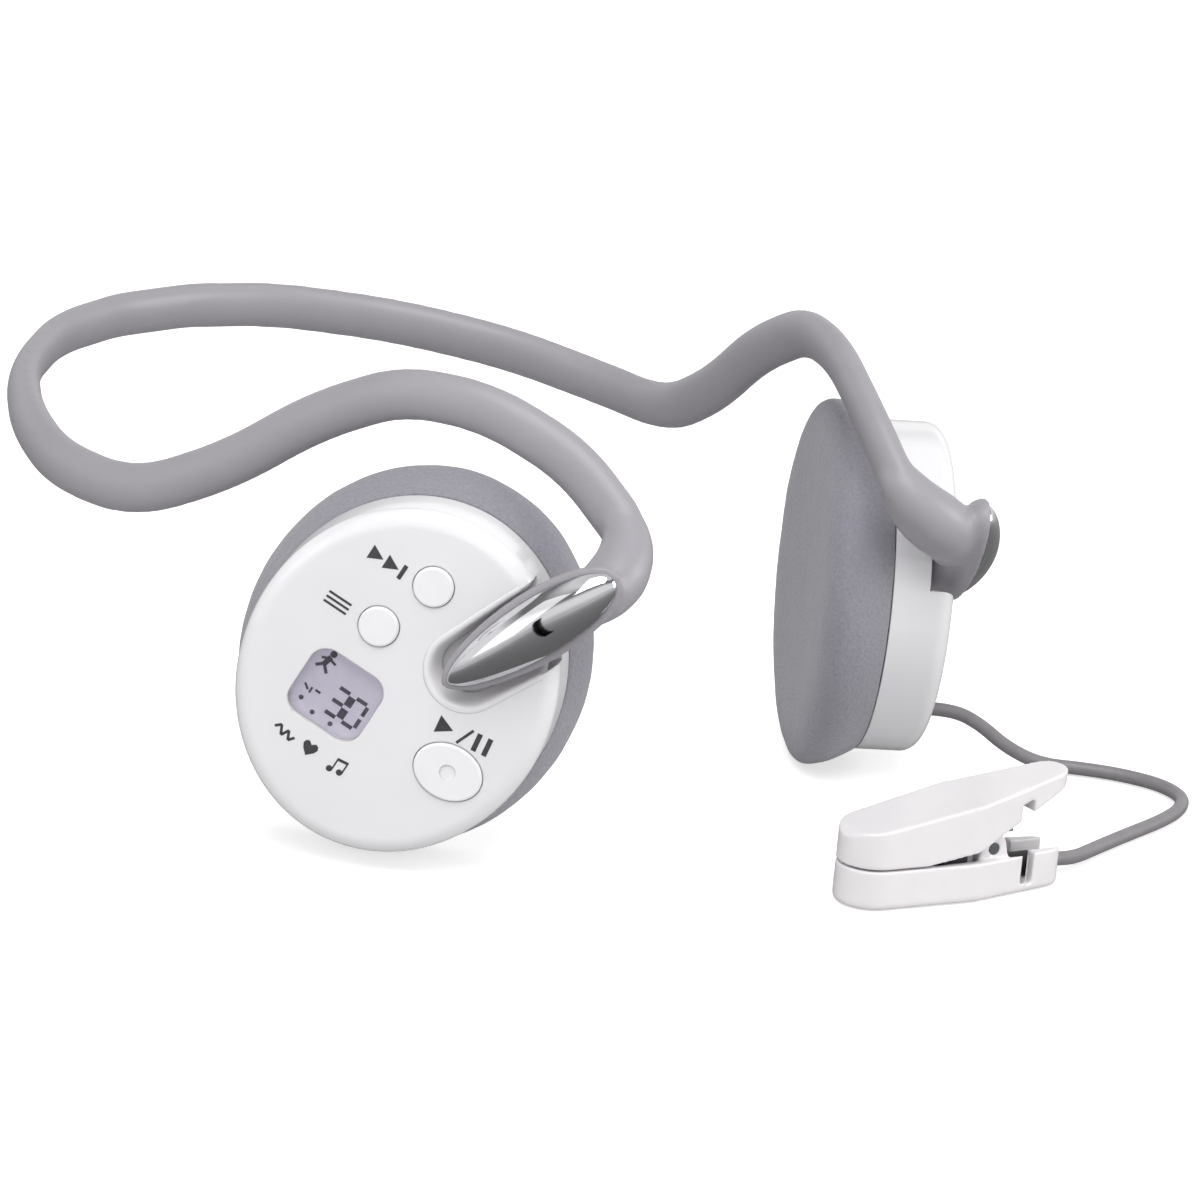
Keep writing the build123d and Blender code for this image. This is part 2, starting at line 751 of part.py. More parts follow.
# ---------------------------------------------------------------- left cup: battery, sensor, cord outlet
with BuildPart() as battery:
    with BuildSketch(left.offset(inner_face - 0.2 - battery_thickness)):
        with Locations(spot(battery_at, "left")):
            RectangleRounded(battery_width, battery_height, 1.5)
    extrude(amount=battery_thickness)
battery.part.label = "battery"
export_step(battery.part, "parts/battery.step")

with BuildPart() as sensor_board:
    with BuildSketch(left.offset(board_level)):
        with Locations(sensor_spot):
            Rectangle(sensor_board_width, sensor_board_height)
    extrude(amount=board_thickness)
sensor_board.part.label = "sensor_board"
export_step(sensor_board.part, "parts/sensor_board.step")

with BuildPart() as sensor_chip:
    with BuildSketch(left.offset(board_top)):
        with Locations(sensor_spot):
            Rectangle(4.0, 4.0)
    extrude(amount=chip_height)
sensor_chip.part.label = "sensor_chip"
export_step(sensor_chip.part, "parts/sensor_chip.step")

# strain relief: rubber bush in the shell's face, tapered outside, flanged inside
gland_plane = turned_plane(left, gland_spot, 0)
cord_bore = cord_radius - 0.3
with BuildPart() as gland:
    with BuildSketch(gland_plane.offset(inner_face - 0.8)):
        Circle(gland_radius + 0.8)
    extrude(amount=0.8)
    with BuildSketch(gland_plane.offset(inner_face)):
        Circle(gland_radius)
    extrude(amount=face_wall)
    with BuildSketch(gland_plane.offset(face_level)):
        Circle(gland_radius)
    extrude(amount=gland_rise, taper=10)
    with BuildSketch(gland_plane.offset(inner_face - 0.8)):
        Circle(cord_bore)
    extrude(amount=gland_rise + face_level, mode=Mode.SUBTRACT)
gland.part.label = "cord_gland"
export_step(gland.part, "parts/cord_gland.step")

# ---------------------------------------------------------------- ear clip
clip_along = (cos(radians(clip_yaw)), sin(radians(clip_yaw)), 0)
clip = Plane(origin=(*clip_centre, 0), x_dir=clip_along, z_dir=(0, 0, 1))
clip_side = Plane(origin=clip.origin, x_dir=clip.x_dir, z_dir=clip.y_dir * -1)
half_length = clip_length / 2
half_width = clip_width / 2
jaw_end_radius = 5.4
handle_end_radius = 3.6
inside_half = half_width - clip_wall
ear_outer = inside_half - ear_gap
ear_inner = ear_outer - ear_thickness
lug_outer = ear_inner - 0.15
lug_inner = lug_outer - lug_thickness
jaw_block_end = -6.0        # solid jaw from the tip to here


def clip_outline():
    """Plan of both levers: rounded jaw end, full width over the pin, narrower handle end."""
    with Locations((-half_length + jaw_end_radius, 0)):
        Circle(jaw_end_radius)
    with Locations((1.0, 0)):
        Circle(half_width)
    with Locations((half_length - handle_end_radius, 0)):
        Circle(handle_end_radius)
    make_hull()


# lower lever: white tray with two ears for the pin, open at the handle end for the cord
with BuildPart() as lower_lever:
    with BuildSketch(clip):
        clip_outline()
    extrude(amount=clip_base_height)
    fillet(lower_lever.faces().sort_by(Axis.Z)[0].edges(), 1.0)
    with BuildSketch(clip.offset(clip_wall)):
        with Locations(((jaw_block_end + half_length) / 2, 0)):
            Rectangle(half_length - jaw_block_end, 2 * (handle_end_radius - clip_wall))
        with Locations(((jaw_block_end + half_length - 7.0) / 2, 0)):
            Rectangle(half_length - 7.0 - jaw_block_end, 2 * (inside_half - 0.4))
    extrude(amount=clip_base_height, mode=Mode.SUBTRACT)
    for way in (1, -1):
        with BuildSketch(clip_side.offset(way * (ear_inner + ear_outer) / 2)):
            with Locations((clip_hinge_x, clip_hinge_z)):
                Circle(ear_radius)
            with Locations((clip_hinge_x, clip_wall + ear_radius - 0.2)):
                Rectangle(2 * ear_radius + 1.0, 2 * ear_radius)
            make_hull()
            with Locations((clip_hinge_x, clip_hinge_z)):
                Circle(clip_pin_radius, mode=Mode.SUBTRACT)
        extrude(amount=ear_thickness / 2, both=True)
    with BuildSketch(clip.offset(clip_base_height - optic_depth)):
        with Locations((-half_length + 7.0, 0)):
            Circle(optic_radius + 0.05)
    extrude(amount=optic_depth, mode=Mode.SUBTRACT)
lower_lever.part.label = "clip_lower_lever"
export_step(lower_lever.part, "parts/clip_lower_lever.step")

# upper lever: white cover-shaped lever, hollow over the pin, its two lugs riding on the pin
jaw_under = clip_base_height + clip_jaw_gap
with BuildPart() as lever_plan:
    with BuildSketch(clip):
        clip_outline()
    extrude(amount=clip_handle_top + 1.0)

with BuildPart() as upper_lever:
    with BuildSketch(clip_side):
        with BuildLine():
            Polyline((-half_length, jaw_under), (-8.0, jaw_under), (1.0, 7.9), (10.0, 11.9),
                     (half_length, clip_handle_top - 2.2), (half_length, clip_handle_top),
                     (-half_length + 1.0, clip_jaw_top), (-half_length, clip_jaw_top - 1.0), close=True)
        make_face()
    extrude(amount=half_width, both=True)
    add(lever_plan.part, mode=Mode.INTERSECT)
    with BuildSketch(clip_side):
        with BuildLine():
            Polyline((jaw_block_end + 1.0, 0), (jaw_block_end + 1.0, clip_jaw_top),
                     (12.0, clip_handle_top - 3.8), (12.0, 0), close=True)
        make_face()
    extrude(amount=inside_half - 0.2, both=True, mode=Mode.SUBTRACT)
    for way in (1, -1):
        with BuildSketch(clip_side.offset(way * (lug_inner + lug_outer) / 2)):
            with Locations((clip_hinge_x, clip_hinge_z)):
                Circle(ear_radius)
            with Locations((clip_hinge_x, clip_hinge_z + 6.0)):
                Rectangle(2 * ear_radius, 2.0)
            make_hull()
            with Locations((clip_hinge_x, clip_hinge_z)):
                Circle(clip_pin_radius + clip_pin_clearance, mode=Mode.SUBTRACT)
        extrude(amount=lug_thickness / 2, both=True)
    with BuildSketch(clip.offset(jaw_under)):
        with Locations((-half_length + 7.0, 0)):
            Circle(optic_radius + 0.05)
    extrude(amount=optic_depth, mode=Mode.SUBTRACT)
upper_lever.part.label = "clip_upper_lever"
export_step(upper_lever.part, "parts/clip_upper_lever.step")

# pin through both ears
with BuildPart() as pin:
    with BuildSketch(clip_side):
        with Locations((clip_hinge_x, clip_hinge_z)):
            Circle(clip_pin_radius)
    extrude(amount=ear_outer, both=True)
pin.part.label = "clip_pin"
export_step(pin.part, "parts/clip_pin.step")

# torsion spring: its close-wound turns are one sleeve round the pin, with a leg under each lever
coil_length = 2 * lug_inner - 0.6
pin_middle = clip.from_local_coords(Vector(clip_hinge_x, 0, clip_hinge_z))
with BuildPart() as torsion_spring:
    with BuildSketch(clip_side):
        with Locations((clip_hinge_x, clip_hinge_z)):
            Circle(spring_coil_radius + spring_wire)
            Circle(spring_coil_radius - spring_wire, mode=Mode.SUBTRACT)
    extrude(amount=coil_length / 2, both=True)
    for way in (1, -1):
        leg_height = clip_hinge_z - way * spring_coil_radius
        leg_start = clip.from_local_coords(Vector(clip_hinge_x, way * (coil_length / 2 - spring_wire), leg_height))
        with BuildSketch(Plane(origin=leg_start, x_dir=clip.y_dir, z_dir=clip.x_dir)):
            Rectangle(1.6 * spring_wire, 1.6 * spring_wire)
        extrude(amount=5.5)
torsion_spring.part.label = "clip_spring"
export_step(torsion_spring.part, "parts/clip_spring.step")

# light source in the lower jaw, detector in the upper one, black light-shield behind them
with BuildPart() as emitter:
    with BuildSketch(clip.offset(clip_base_height - optic_depth)):
        with Locations((-half_length + 7.0, 0)):
            Circle(optic_radius)
    extrude(amount=optic_depth)
emitter.part.label = "clip_light_source"
export_step(emitter.part, "parts/clip_light_source.step")

with BuildPart() as detector:
    with BuildSketch(clip.offset(jaw_under)):
        with Locations((-half_length + 7.0, 0)):
            Circle(optic_radius)
    extrude(amount=optic_depth)
detector.part.label = "clip_light_detector"
export_step(detector.part, "parts/clip_light_detector.step")

with BuildPart() as shield:
    with BuildSketch(clip.offset(clip_wall)):
        with Locations((-1.8, 0)):
            Rectangle(4.4, 2 * (inside_half - 0.7))
    extrude(amount=clip_base_height - clip_wall + 1.2)
shield.part.label = "clip_light_shield"
export_step(shield.part, "parts/clip_light_shield.step")

# relief: short sleeve that anchors the cord in the tray
relief_level = clip_wall + relief_radius + 0.1
relief_start = half_length - 11.0
relief_plane = Plane(origin=clip.from_local_coords(Vector(relief_start, 0, relief_level)), z_dir=clip.x_dir)
with BuildPart() as relief:
    with BuildSketch(relief_plane):
        Circle(relief_radius)
    extrude(amount=relief_length)
relief.part.label = "clip_cord_relief"
export_step(relief.part, "parts/clip_cord_relief.step")

# ---------------------------------------------------------------- sensor cord
# out of the left cup's face, down to the floor and round to the clip's handle end
cord_start = gland_plane.from_local_coords(Vector(0, 0, face_level + gland_rise))
cord_lead = cord_start + gland_plane.z_dir * 4.0
cord_end = relief_plane.from_local_coords(Vector(0, 0, relief_length))
cord_route = [
    tuple(cord_start),
    tuple(cord_lead),
    (68.9, -53.5, 6.9),
    (72.0, -57.2, 3.4),
    (76.0, -61.2, 1.15),
    (80.8, -66.0, 1.1),
    (84.4, -71.7, 1.1),
    (86.2, -78.3, 1.1),
    (84.4, -84.7, 1.1),
    (79.0, -88.9, 1.1),
    (71.4, -91.5, 1.1),
    (61.6, -93.5, 1.1),
    (52.0, -95.7, 1.1),
    (43.8, -98.5, 1.6),
    tuple(cord_end + clip.x_dir * 5.0),
    tuple(cord_end),
]
cord_radii = bend_radii(cord_route)
with BuildPart() as cord:
    with BuildLine() as cord_line:
        FilletPolyline(*cord_route, radius=cord_radii)
    with BuildSketch(Plane(origin=cord_start, z_dir=gland_plane.z_dir)):
        Circle(cord_radius)
    sweep()
cord.part.label = "sensor_cord"
export_step(cord.part, "parts/sensor_cord.step")
cord_length = sum(edge.length for edge in cord_line.edges())
print("cord radii", [round(radius, 1) for radius in cord_radii])
print("cord length", round(cord_length, 1), "volume over section times length",
      round(cord.part.volume / (3.14159265 * cord_radius**2 * cord_length), 4))
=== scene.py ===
import json
import math

import bmesh
import bpy
from mathutils import Matrix, Vector, noise


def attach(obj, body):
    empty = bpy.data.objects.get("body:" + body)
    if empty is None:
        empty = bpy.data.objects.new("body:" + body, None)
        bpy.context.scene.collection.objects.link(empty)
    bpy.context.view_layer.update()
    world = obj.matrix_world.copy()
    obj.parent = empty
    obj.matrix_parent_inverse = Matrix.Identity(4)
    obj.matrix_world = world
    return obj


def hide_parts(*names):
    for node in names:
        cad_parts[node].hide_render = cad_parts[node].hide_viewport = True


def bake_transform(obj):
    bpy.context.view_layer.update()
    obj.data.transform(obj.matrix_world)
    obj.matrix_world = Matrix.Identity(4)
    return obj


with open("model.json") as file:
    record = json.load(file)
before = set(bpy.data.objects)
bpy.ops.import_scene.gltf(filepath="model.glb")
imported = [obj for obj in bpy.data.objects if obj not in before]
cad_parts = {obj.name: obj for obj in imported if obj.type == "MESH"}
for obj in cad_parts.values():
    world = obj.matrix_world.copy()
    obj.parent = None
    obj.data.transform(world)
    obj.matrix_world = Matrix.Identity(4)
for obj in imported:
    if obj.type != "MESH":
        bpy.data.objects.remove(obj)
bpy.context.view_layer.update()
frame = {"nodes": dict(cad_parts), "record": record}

# ---- camera -----------------------------------------------------------------------------------
# A long lens at the wearer's front right, a little above the headset and rolled a few degrees.
camera_azimuth = math.radians(-45.47)
camera_elevation = math.radians(16.02)
camera_roll = math.radians(5.57)
camera_distance = 1.2544
aim_height = 0.030                       # the ear pads' centre height
aim_back = -0.0385                       # and their row Y
aim_right = -0.0031                      # small shifts in the view's own plane
aim_up = 0.0025

toward = Vector((math.sin(camera_azimuth) * math.cos(camera_elevation),
                 -math.cos(camera_azimuth) * math.cos(camera_elevation),
                 math.sin(camera_elevation)))
level_right = Vector((math.cos(camera_azimuth), math.sin(camera_azimuth), 0))
level_up = toward.cross(level_right)
camera_right = level_right * math.cos(camera_roll) + level_up * math.sin(camera_roll)
camera_up = toward.cross(camera_right)

camera = bpy.data.objects.new("camera", bpy.data.cameras.new("camera"))
bpy.context.collection.objects.link(camera)
camera.data.lens = 243.0
camera.data.sensor_width = 36.0
camera.data.clip_end = 10.0
camera_place = (Vector((0, aim_back, aim_height)) + camera_right * aim_right + camera_up * aim_up
                + toward * camera_distance)
camera.matrix_world = Matrix.Translation(camera_place) @ Matrix(
    (camera_right, camera_up, toward)).transposed().to_4x4()
bpy.context.scene.camera = camera
bpy.context.scene.view_settings.view_transform = "Standard"


# ---- sensor cord --------------------------------------------------------------------------------
# A round two-millimetre cable: a grey PVC sheath extruded over a pair of fine wires. It leaves the
# left cup through a gland, lies on the floor in one loose bend and ends in the ear clip's relief.
MM = 0.001                               # sizes below are written in millimetres


def linear(hex_colour):
    """An sRGB hex colour as linear RGBA."""
    channels = [int(hex_colour[i:i + 2], 16) / 255 for i in (1, 3, 5)]
    return tuple(c / 12.92 if c <= 0.04045 else ((c + 0.055) / 1.055) ** 2.4 for c in channels) + (1.0,)


def add_node(tree, kind, inputs=None, **settings):
    """Adds one shader node; an input is a value, or an output socket to link."""
    made = tree.nodes.new(kind)
    for name, value in settings.items():
        setattr(made, name, value)
    for name, value in (inputs or {}).items():
        if isinstance(value, bpy.types.NodeSocket):
            tree.links.new(value, made.inputs[name])
        else:
            made.inputs[name].default_value = value
    return made


def new_material(name, **constants):
    """A material with one Principled shader whose constant sockets are set by name."""
    material = bpy.data.materials.new(name)
    material.use_nodes = True
    shader = material.node_tree.nodes["Principled BSDF"]
    for socket, value in constants.items():
        shader.inputs[socket.replace("_", " ")].default_value = value
    return material, material.node_tree, shader


def mottle(tree, shader, low, high, scale_mm, detail=2.0):
    """Colour that drifts between two hex values over blotches of about scale_mm."""
    coords = add_node(tree, "ShaderNodeTexCoord")
    clouds = add_node(tree, "ShaderNodeTexNoise", {"Vector": coords.outputs["Object"], "Detail": detail,
                                                   "Scale": 1 / (scale_mm * MM)})
    ramp = add_node(tree, "ShaderNodeMix", {"Factor": clouds.outputs["Fac"]}, data_type="RGBA")
    ramp.inputs[6].default_value = linear(low)
    ramp.inputs[7].default_value = linear(high)
    tree.links.new(ramp.outputs[2], shader.inputs["Base Color"])
    return coords


def grain(tree, shader, scale_mm, depth_mm, detail=3.0):
    """Fine relief: bumps about scale_mm apart and depth_mm deep."""
    coords = add_node(tree, "ShaderNodeTexCoord")
    texture = add_node(tree, "ShaderNodeTexNoise", {"Vector": coords.outputs["Object"], "Detail": detail,
                                                    "Scale": 1 / (scale_mm * MM)})
    bump = add_node(tree, "ShaderNodeBump", {"Height": texture.outputs["Fac"], "Strength": 1.0,
                                             "Distance": depth_mm * MM})
    tree.links.new(bump.outputs["Normal"], shader.inputs["Normal"])


def dress(piece, material):
    """Makes the material the piece's only one."""
    piece.data.materials.clear()
    piece.data.materials.append(material)


def finish_piece(piece, material, body, replaced=()):
    """Gives a piece its material, its body and the CAD nodes it stands for."""
    dress(piece, material)
    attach(piece, body)
    if replaced:
        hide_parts(*replaced)


cord_diameter = 2.2 * MM
cord_route = [                           # gland, floor, bend, back along the floor, clip relief
    (62.50, -47.98, 8.7),
    (65.72, -50.35, 8.7),
    (68.9, -53.5, 6.9),
    (72.0, -57.2, 3.4),
    (76.0, -61.2, 1.15),
    (80.8, -66.0, 1.1),
    (84.4, -71.7, 1.1),
    (86.2, -78.3, 1.1),
    (84.4, -84.7, 1.1),
    (79.0, -88.9, 1.1),
    (71.4, -91.5, 1.1),
    (61.6, -93.5, 1.1),
    (52.0, -95.7, 1.1),
    (43.8, -98.5, 1.6),
    (36.23, -100.82, 3.3),
    (31.32, -99.86, 3.3),
]
cord_curve = bpy.data.curves.new("sensor_cord_sheath", "CURVE")
cord_curve.dimensions = "3D"
cord_line = cord_curve.splines.new("NURBS")
cord_line.points.add(len(cord_route) - 1)
for point, place in zip(cord_line.points, cord_route):
    point.co = (*(Vector(place) * MM), 1.0)
cord_line.order_u = 3
cord_line.use_endpoint_u = True
cord_line.resolution_u = 12
cord_curve.bevel_depth = cord_diameter / 2
cord_curve.bevel_resolution = 6
cord_curve.use_fill_caps = True
cord = bpy.data.objects.new("sensor_cord_sheath", cord_curve)
bpy.context.collection.objects.link(cord)

# extruded PVC: a satin grey with a slight orange peel
sheath_pvc, tree, shader = new_material("extruded_grey_pvc", Roughness=0.42, IOR=1.5)
mottle(tree, shader, "#767376", "#878487", 3.0)
grain(tree, shader, 0.5, 0.03)
finish_piece(cord, sheath_pvc, "left_cup", ["sensor_cord"])


# ---- ear clip -----------------------------------------------------------------------------------
# The pulse sensor's clip: two injection-moulded white ABS levers on a steel pin, sprung together,
# with an epoxy-filled light source and detector facing each other in the jaws.
def soft_edges(tree, shader, radius_mm):
    """Rounds the look of a moulding's edges by radius_mm; joins any bump that is already there."""
    edge = add_node(tree, "ShaderNodeBevel", {"Radius": radius_mm * MM}, samples=4)
    used = shader.inputs["Normal"].links
    if used:
        tree.links.new(edge.outputs["Normal"], used[0].from_node.inputs["Normal"])
    else:
        tree.links.new(edge.outputs["Normal"], shader.inputs["Normal"])


def paint(material, *nodes):
    """Puts a material on CAD nodes and shades their curved faces smoothly."""
    for name in nodes:
        dress(frame["nodes"][name], material)
        mesh = frame["nodes"][name].data
        mesh.polygons.foreach_set("use_smooth", [True] * len(mesh.polygons))
        mesh.set_sharp_from_angle(angle=math.radians(30))


def applied(piece):
    """Replaces the piece's mesh with the result of its modifiers."""
    bpy.context.view_layer.update()
    done = bpy.data.meshes.new_from_object(piece.evaluated_get(bpy.context.evaluated_depsgraph_get()))
    piece.modifiers.clear()
    piece.data = done
    done.polygons.foreach_set("use_smooth", [True] * len(done.polygons))
    return piece


def fused(piece, voxel_mm, rounds):
    """Turns a piece into one skin of small cells and smooths it, as a mould would round it."""
    skin = piece.modifiers.new("skin", "REMESH")
    skin.mode = "VOXEL"
    skin.voxel_size = voxel_mm * MM
    soften = piece.modifiers.new("soften", "SMOOTH")
    soften.iterations = rounds
    soften.factor = 0.5
    return applied(piece)


# satin moulded ABS: white with a broad, soft highlight that shows the lever's rounded edges
clip_abs, tree, shader = new_material("moulded_white_abs_satin", Roughness=0.3, IOR=1.52, Coat_Weight=0.15)
mottle(tree, shader, "#DEDBDD", "#E5E2E4", 6.0)
grain(tree, shader, 0.35, 0.008)
for name, body in (("clip_lower_lever", "left_cup"), ("clip_upper_lever", "clip_lever")):
    lever = bpy.data.objects.new(name + "_moulding", frame["nodes"][name].data.copy())
    bpy.context.collection.objects.link(lever)
    fused(lever, 0.22, 12)
    finish_piece(lever, clip_abs, body, [name])

# drawn steel: bright, with highlights blurred by the die
pin_steel, tree, shader = new_material("drawn_steel_bright", Metallic=1.0, Roughness=0.28)
mottle(tree, shader, "#9A9CA0", "#BFC1C4", 1.5)
grain(tree, shader, 0.2, 0.004)
paint(pin_steel, "clip_pin", "clip_spring")

# cast epoxy, tinted to pass infrared: a dark wine red with a hard gloss
optic_epoxy, tree, shader = new_material("tinted_epoxy_lens", Roughness=0.08, IOR=1.56)
mottle(tree, shader, "#3B1518", "#4A1C1F", 1.0)
grain(tree, shader, 0.6, 0.004)
paint(optic_epoxy, "clip_light_source", "clip_light_detector")

# moulded nylon: near black and low in sheen, so the jaws stay dark inside
shield_black, tree, shader = new_material("moulded_black_nylon_satin", Roughness=0.5, IOR=1.5)
mottle(tree, shader, "#202022", "#2C2C2F", 2.0)
grain(tree, shader, 0.3, 0.02)
soft_edges(tree, shader, 0.2)
paint(shield_black, "clip_light_shield", "clip_cord_relief", "cord_gland")


# ---- neckband and pods --------------------------------------------------------------------------
# One soft-touch grey elastomer moulding over a spring wire. It hooks over each ear and swells
# into the teardrop pod that carries the cup, so arm and pod are remeshed into a single skin.
mount_inset = 2.2                        # the ear mounts lie this far inside the pads' widest ring


def cup_frame(side):
    """A cup's centre and its forward, up and outward directions, from the record's ear mounts."""
    mount = next(m for m in frame["record"]["mounts"] if m["name"] == "ear_side_" + side)
    outward = -Vector(mount["axis"]).normalized()
    up = Vector((0, 0, 1))
    forward = up.cross(outward) if side == "right" else outward.cross(up)
    return Vector(mount["pos_m"]) + outward * mount_inset * MM, forward, up, outward


def on_cup(side, forward_mm, up_mm, level_mm):
    """A place on a cup: forward, up and outward from the pad's widest ring, in millimetres."""
    centre, forward, up, outward = cup_frame(side)
    return centre + (forward * forward_mm + up * up_mm + outward * level_mm) * MM


def mesh_piece(name, verts, faces, smooth=True):
    """A mesh object from vertices in metres, normals outward."""
    mesh = bpy.data.meshes.new(name)
    mesh.from_pydata([tuple(v) for v in verts], [], faces)
    work = bmesh.new()
    work.from_mesh(mesh)
    bmesh.ops.recalc_face_normals(work, faces=work.faces)
    work.to_mesh(mesh)
    work.free()
    if smooth:
        mesh.polygons.foreach_set("use_smooth", [True] * len(mesh.polygons))
    piece = bpy.data.objects.new(name, mesh)
    bpy.context.collection.objects.link(piece)
    return piece


def stack(name, rings):
    """A closed skin over a list of rings with equal numbers of points."""
    count = len(rings[0])
    verts = [point for ring in rings for point in ring]
    faces = [(row * count + i, row * count + (i + 1) % count, (row + 1) * count + (i + 1) % count,
              (row + 1) * count + i) for row in range(len(rings) - 1) for i in range(count)]
    faces += [tuple(range(count)), tuple(range((len(rings) - 1) * count, len(rings) * count))]
    return mesh_piece(name, verts, faces)


corner_share = 0.45                      # a rounded corner takes this much of its shorter run


def rounded_route(points, steps):
    """Points along a route with each corner rounded off."""
    line = [points[0]]
    for before, corner, after in zip(points, points[1:], points[2:]):
        reach = corner_share * min((corner - before).length, (after - corner).length)
        start = corner - (corner - before).normalized() * reach
        end = corner + (after - corner).normalized() * reach
        for step in range(steps + 1):
            t = step / steps
            line.append(start * (1 - t) ** 2 + corner * 2 * t * (1 - t) + end * t ** 2)
    return line + [points[-1]]


leaf_tip = Vector((8.2, 2.1))            # forward and up on the cup's face
leaf_top = Vector((31.9, 21.4))
leaf_width = 9.0


def leaf_outline(grow_mm, count):
    """The pod's leaf outline as (forward, up) places: pointed at the front tip, blunter above."""
    along = (leaf_top - leaf_tip).normalized()
    across = Vector((-along.y, along.x))
    length = (leaf_top - leaf_tip).length + 2 * grow_mm
    places = []
    for i in range(count):
        angle = 2 * math.pi * i / count
        share = (1 - math.cos(angle)) / 2
        # the powers sharpen the tip a little and the last factor moves the widest part up the leaf
        half = (leaf_width / 2 + grow_mm) * abs(math.sin(angle)) ** (1.03 + 0.08 * math.cos(angle))
        half *= 1 - 0.14 * math.cos(angle)
        places.append(leaf_tip - along * grow_mm + along * length * share
                      + across * half * (1 if angle < math.pi else -1))
    return places


def ring_turns(count):
    """Equal turns round a circle."""
    return [2 * math.pi * k / count for k in range(count)]


# one arm from the pod over the ear to the back of the neck, then the whole band
arm_route = [Vector(p) * MM for p in (
    (41.0, -68.7, 45.7), (36.2, -70.8, 46.8), (32.2, -69.9, 49.5), (29.4, -66.9, 55.0), (31.6, -56.7, 63.6),
    (37.6, -43.7, 69.2), (43.4, -30.9, 69.4), (47.6, -16.9, 62.2), (52.4, -3.3, 51.4), (57.6, 11.7, 43.6),
    (58.4, 28.7, 44.0), (52.2, 44.1, 46.6), (40.6, 59.5, 48.8), (23.6, 71.1, 50.6), (8.0, 74.6, 51.2))]
band_route = arm_route + [Vector((0, 74.6, 51.2)) * MM]
band_route += [Vector((-p.x, p.y, p.z)) for p in reversed(arm_route)]
band_tall = 7.9                          # remeshing and smoothing take 0.3 off
band_thick = 5.1
band_lean = math.radians(12.0)           # the band's top edge leans in towards the neck
band_line = rounded_route(band_route, 12)
band_rings = []
for i, place in enumerate(band_line):
    ahead = (band_line[min(i + 1, len(band_line) - 1)] - band_line[max(i - 1, 0)]).normalized()
    inward = Vector((-place.x, -place.y, 0)).normalized() if i else Vector((-1, 0, 0))
    side_way = Vector((ahead.y, -ahead.x, 0)).normalized()
    rise = side_way.cross(ahead)
    if rise.z < 0:
        rise, side_way = -rise, -side_way
    lean = band_lean * (1 if side_way.dot(inward) > 0 else -1)
    tall_way = rise * math.cos(lean) + side_way * math.sin(lean)
    thick_way = ahead.cross(tall_way)
    band_rings.append([place + tall_way * (band_tall / 2 * MM * math.cos(a))
                       + thick_way * (band_thick / 2 * MM * math.sin(a)) for a in ring_turns(28)])
band = stack("neckband_skin", band_rings)


def blob_chain(name, route, radii_mm):
    """Balls strung along a rounded route, to be fused; their radius runs through radii_mm."""
    line = rounded_route(route, 16)
    verts = []
    faces = []
    for i, place in enumerate(line):
        along = i / (len(line) - 1) * (len(radii_mm) - 1)
        low = min(int(along), len(radii_mm) - 2)
        radius = radii_mm[low] + (radii_mm[low + 1] - radii_mm[low]) * (along - low)
        work = bmesh.new()
        bmesh.ops.create_icosphere(work, subdivisions=3, radius=radius * MM)
        base = len(verts)
        verts += [v.co + place for v in work.verts]
        faces += [tuple(base + v.index for v in face.verts) for face in work.faces]
        work.free()
    return mesh_piece(name, verts, faces)


# (level, growth of the leaf outline): narrow down in the recess, so that the cup can swivel, then full
pod_profile = [(14.6, -2.2), (15.2, -1.5), (16.4, -0.9), (17.8, -0.6), (18.6, 0.5), (20.0, 1.1), (20.6, 1.1)]
boss_middle = (13.4, 5.8)
boss_radius = 2.45
boss_levels = (12.4, 17.0)
shoulder_route = [(26.0, 15.2, 16.0), (29.6, 17.8, 15.0), (31.3, 20.0, 12.0), (31.7, 22.6, 8.6),
                  (30.6, 25.6, 5.8), (27.6, 28.1, 4.4)]
shoulder_radii = (4.2, 4.6, 4.7, 4.4, 4.0, 3.4, 2.5)
parts = [band]
for side in ("right", "left"):
    parts.append(stack("pod_body", [[on_cup(side, *place, level) for place in leaf_outline(grow, 72)]
                                    for level, grow in pod_profile]))
    boss_edge = [(boss_middle[0] + boss_radius * math.cos(a), boss_middle[1] + boss_radius * math.sin(a))
                 for a in ring_turns(32)]
    parts.append(stack("pod_boss", [[on_cup(side, *place, level) for place in boss_edge]
                                    for level in boss_levels]))
    parts.append(blob_chain("pod_shoulder", [on_cup(side, *place) for place in shoulder_route],
                            shoulder_radii))
with bpy.context.temp_override(active_object=band, selected_editable_objects=parts, selected_objects=parts):
    bpy.ops.object.join()

fused(band, 0.45, 22)

# moulded soft-touch elastomer: an even warm grey with wide dull highlights; its grain is drawn
# about ten times too coarse, so that it breaks the highlights up a little
soft_touch, tree, shader = new_material("soft_touch_grey_elastomer", Roughness=0.42, IOR=1.46,
                                        Coat_Weight=0.05)
mottle(tree, shader, "#949197", "#9C999F", 14.0)
grain(tree, shader, 0.25, 0.012)
dress(band, soft_touch)
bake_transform(band)
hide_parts("right_band_cover", "left_band_cover", "right_pod", "left_pod")

# the spring wire and the audio lead are kept as copies of their CAD nodes; the lead's PVC is a dull black
lead_pvc, tree, shader = new_material("black_pvc_lead_sheath", Roughness=0.45)
mottle(tree, shader, "#18181A", "#222225", 2.0)
grain(tree, shader, 0.5, 0.01)
for name, material, slot in (("band_spring", pin_steel, "spring_steel"),
                             ("band_lead", lead_pvc, "lead_sheath")):
    strand = bpy.data.objects.new(name + "_in_skin", frame["nodes"][name].data.copy())
    bpy.context.collection.objects.link(strand)
    dress(strand, material)
    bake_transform(strand)
    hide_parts(name)


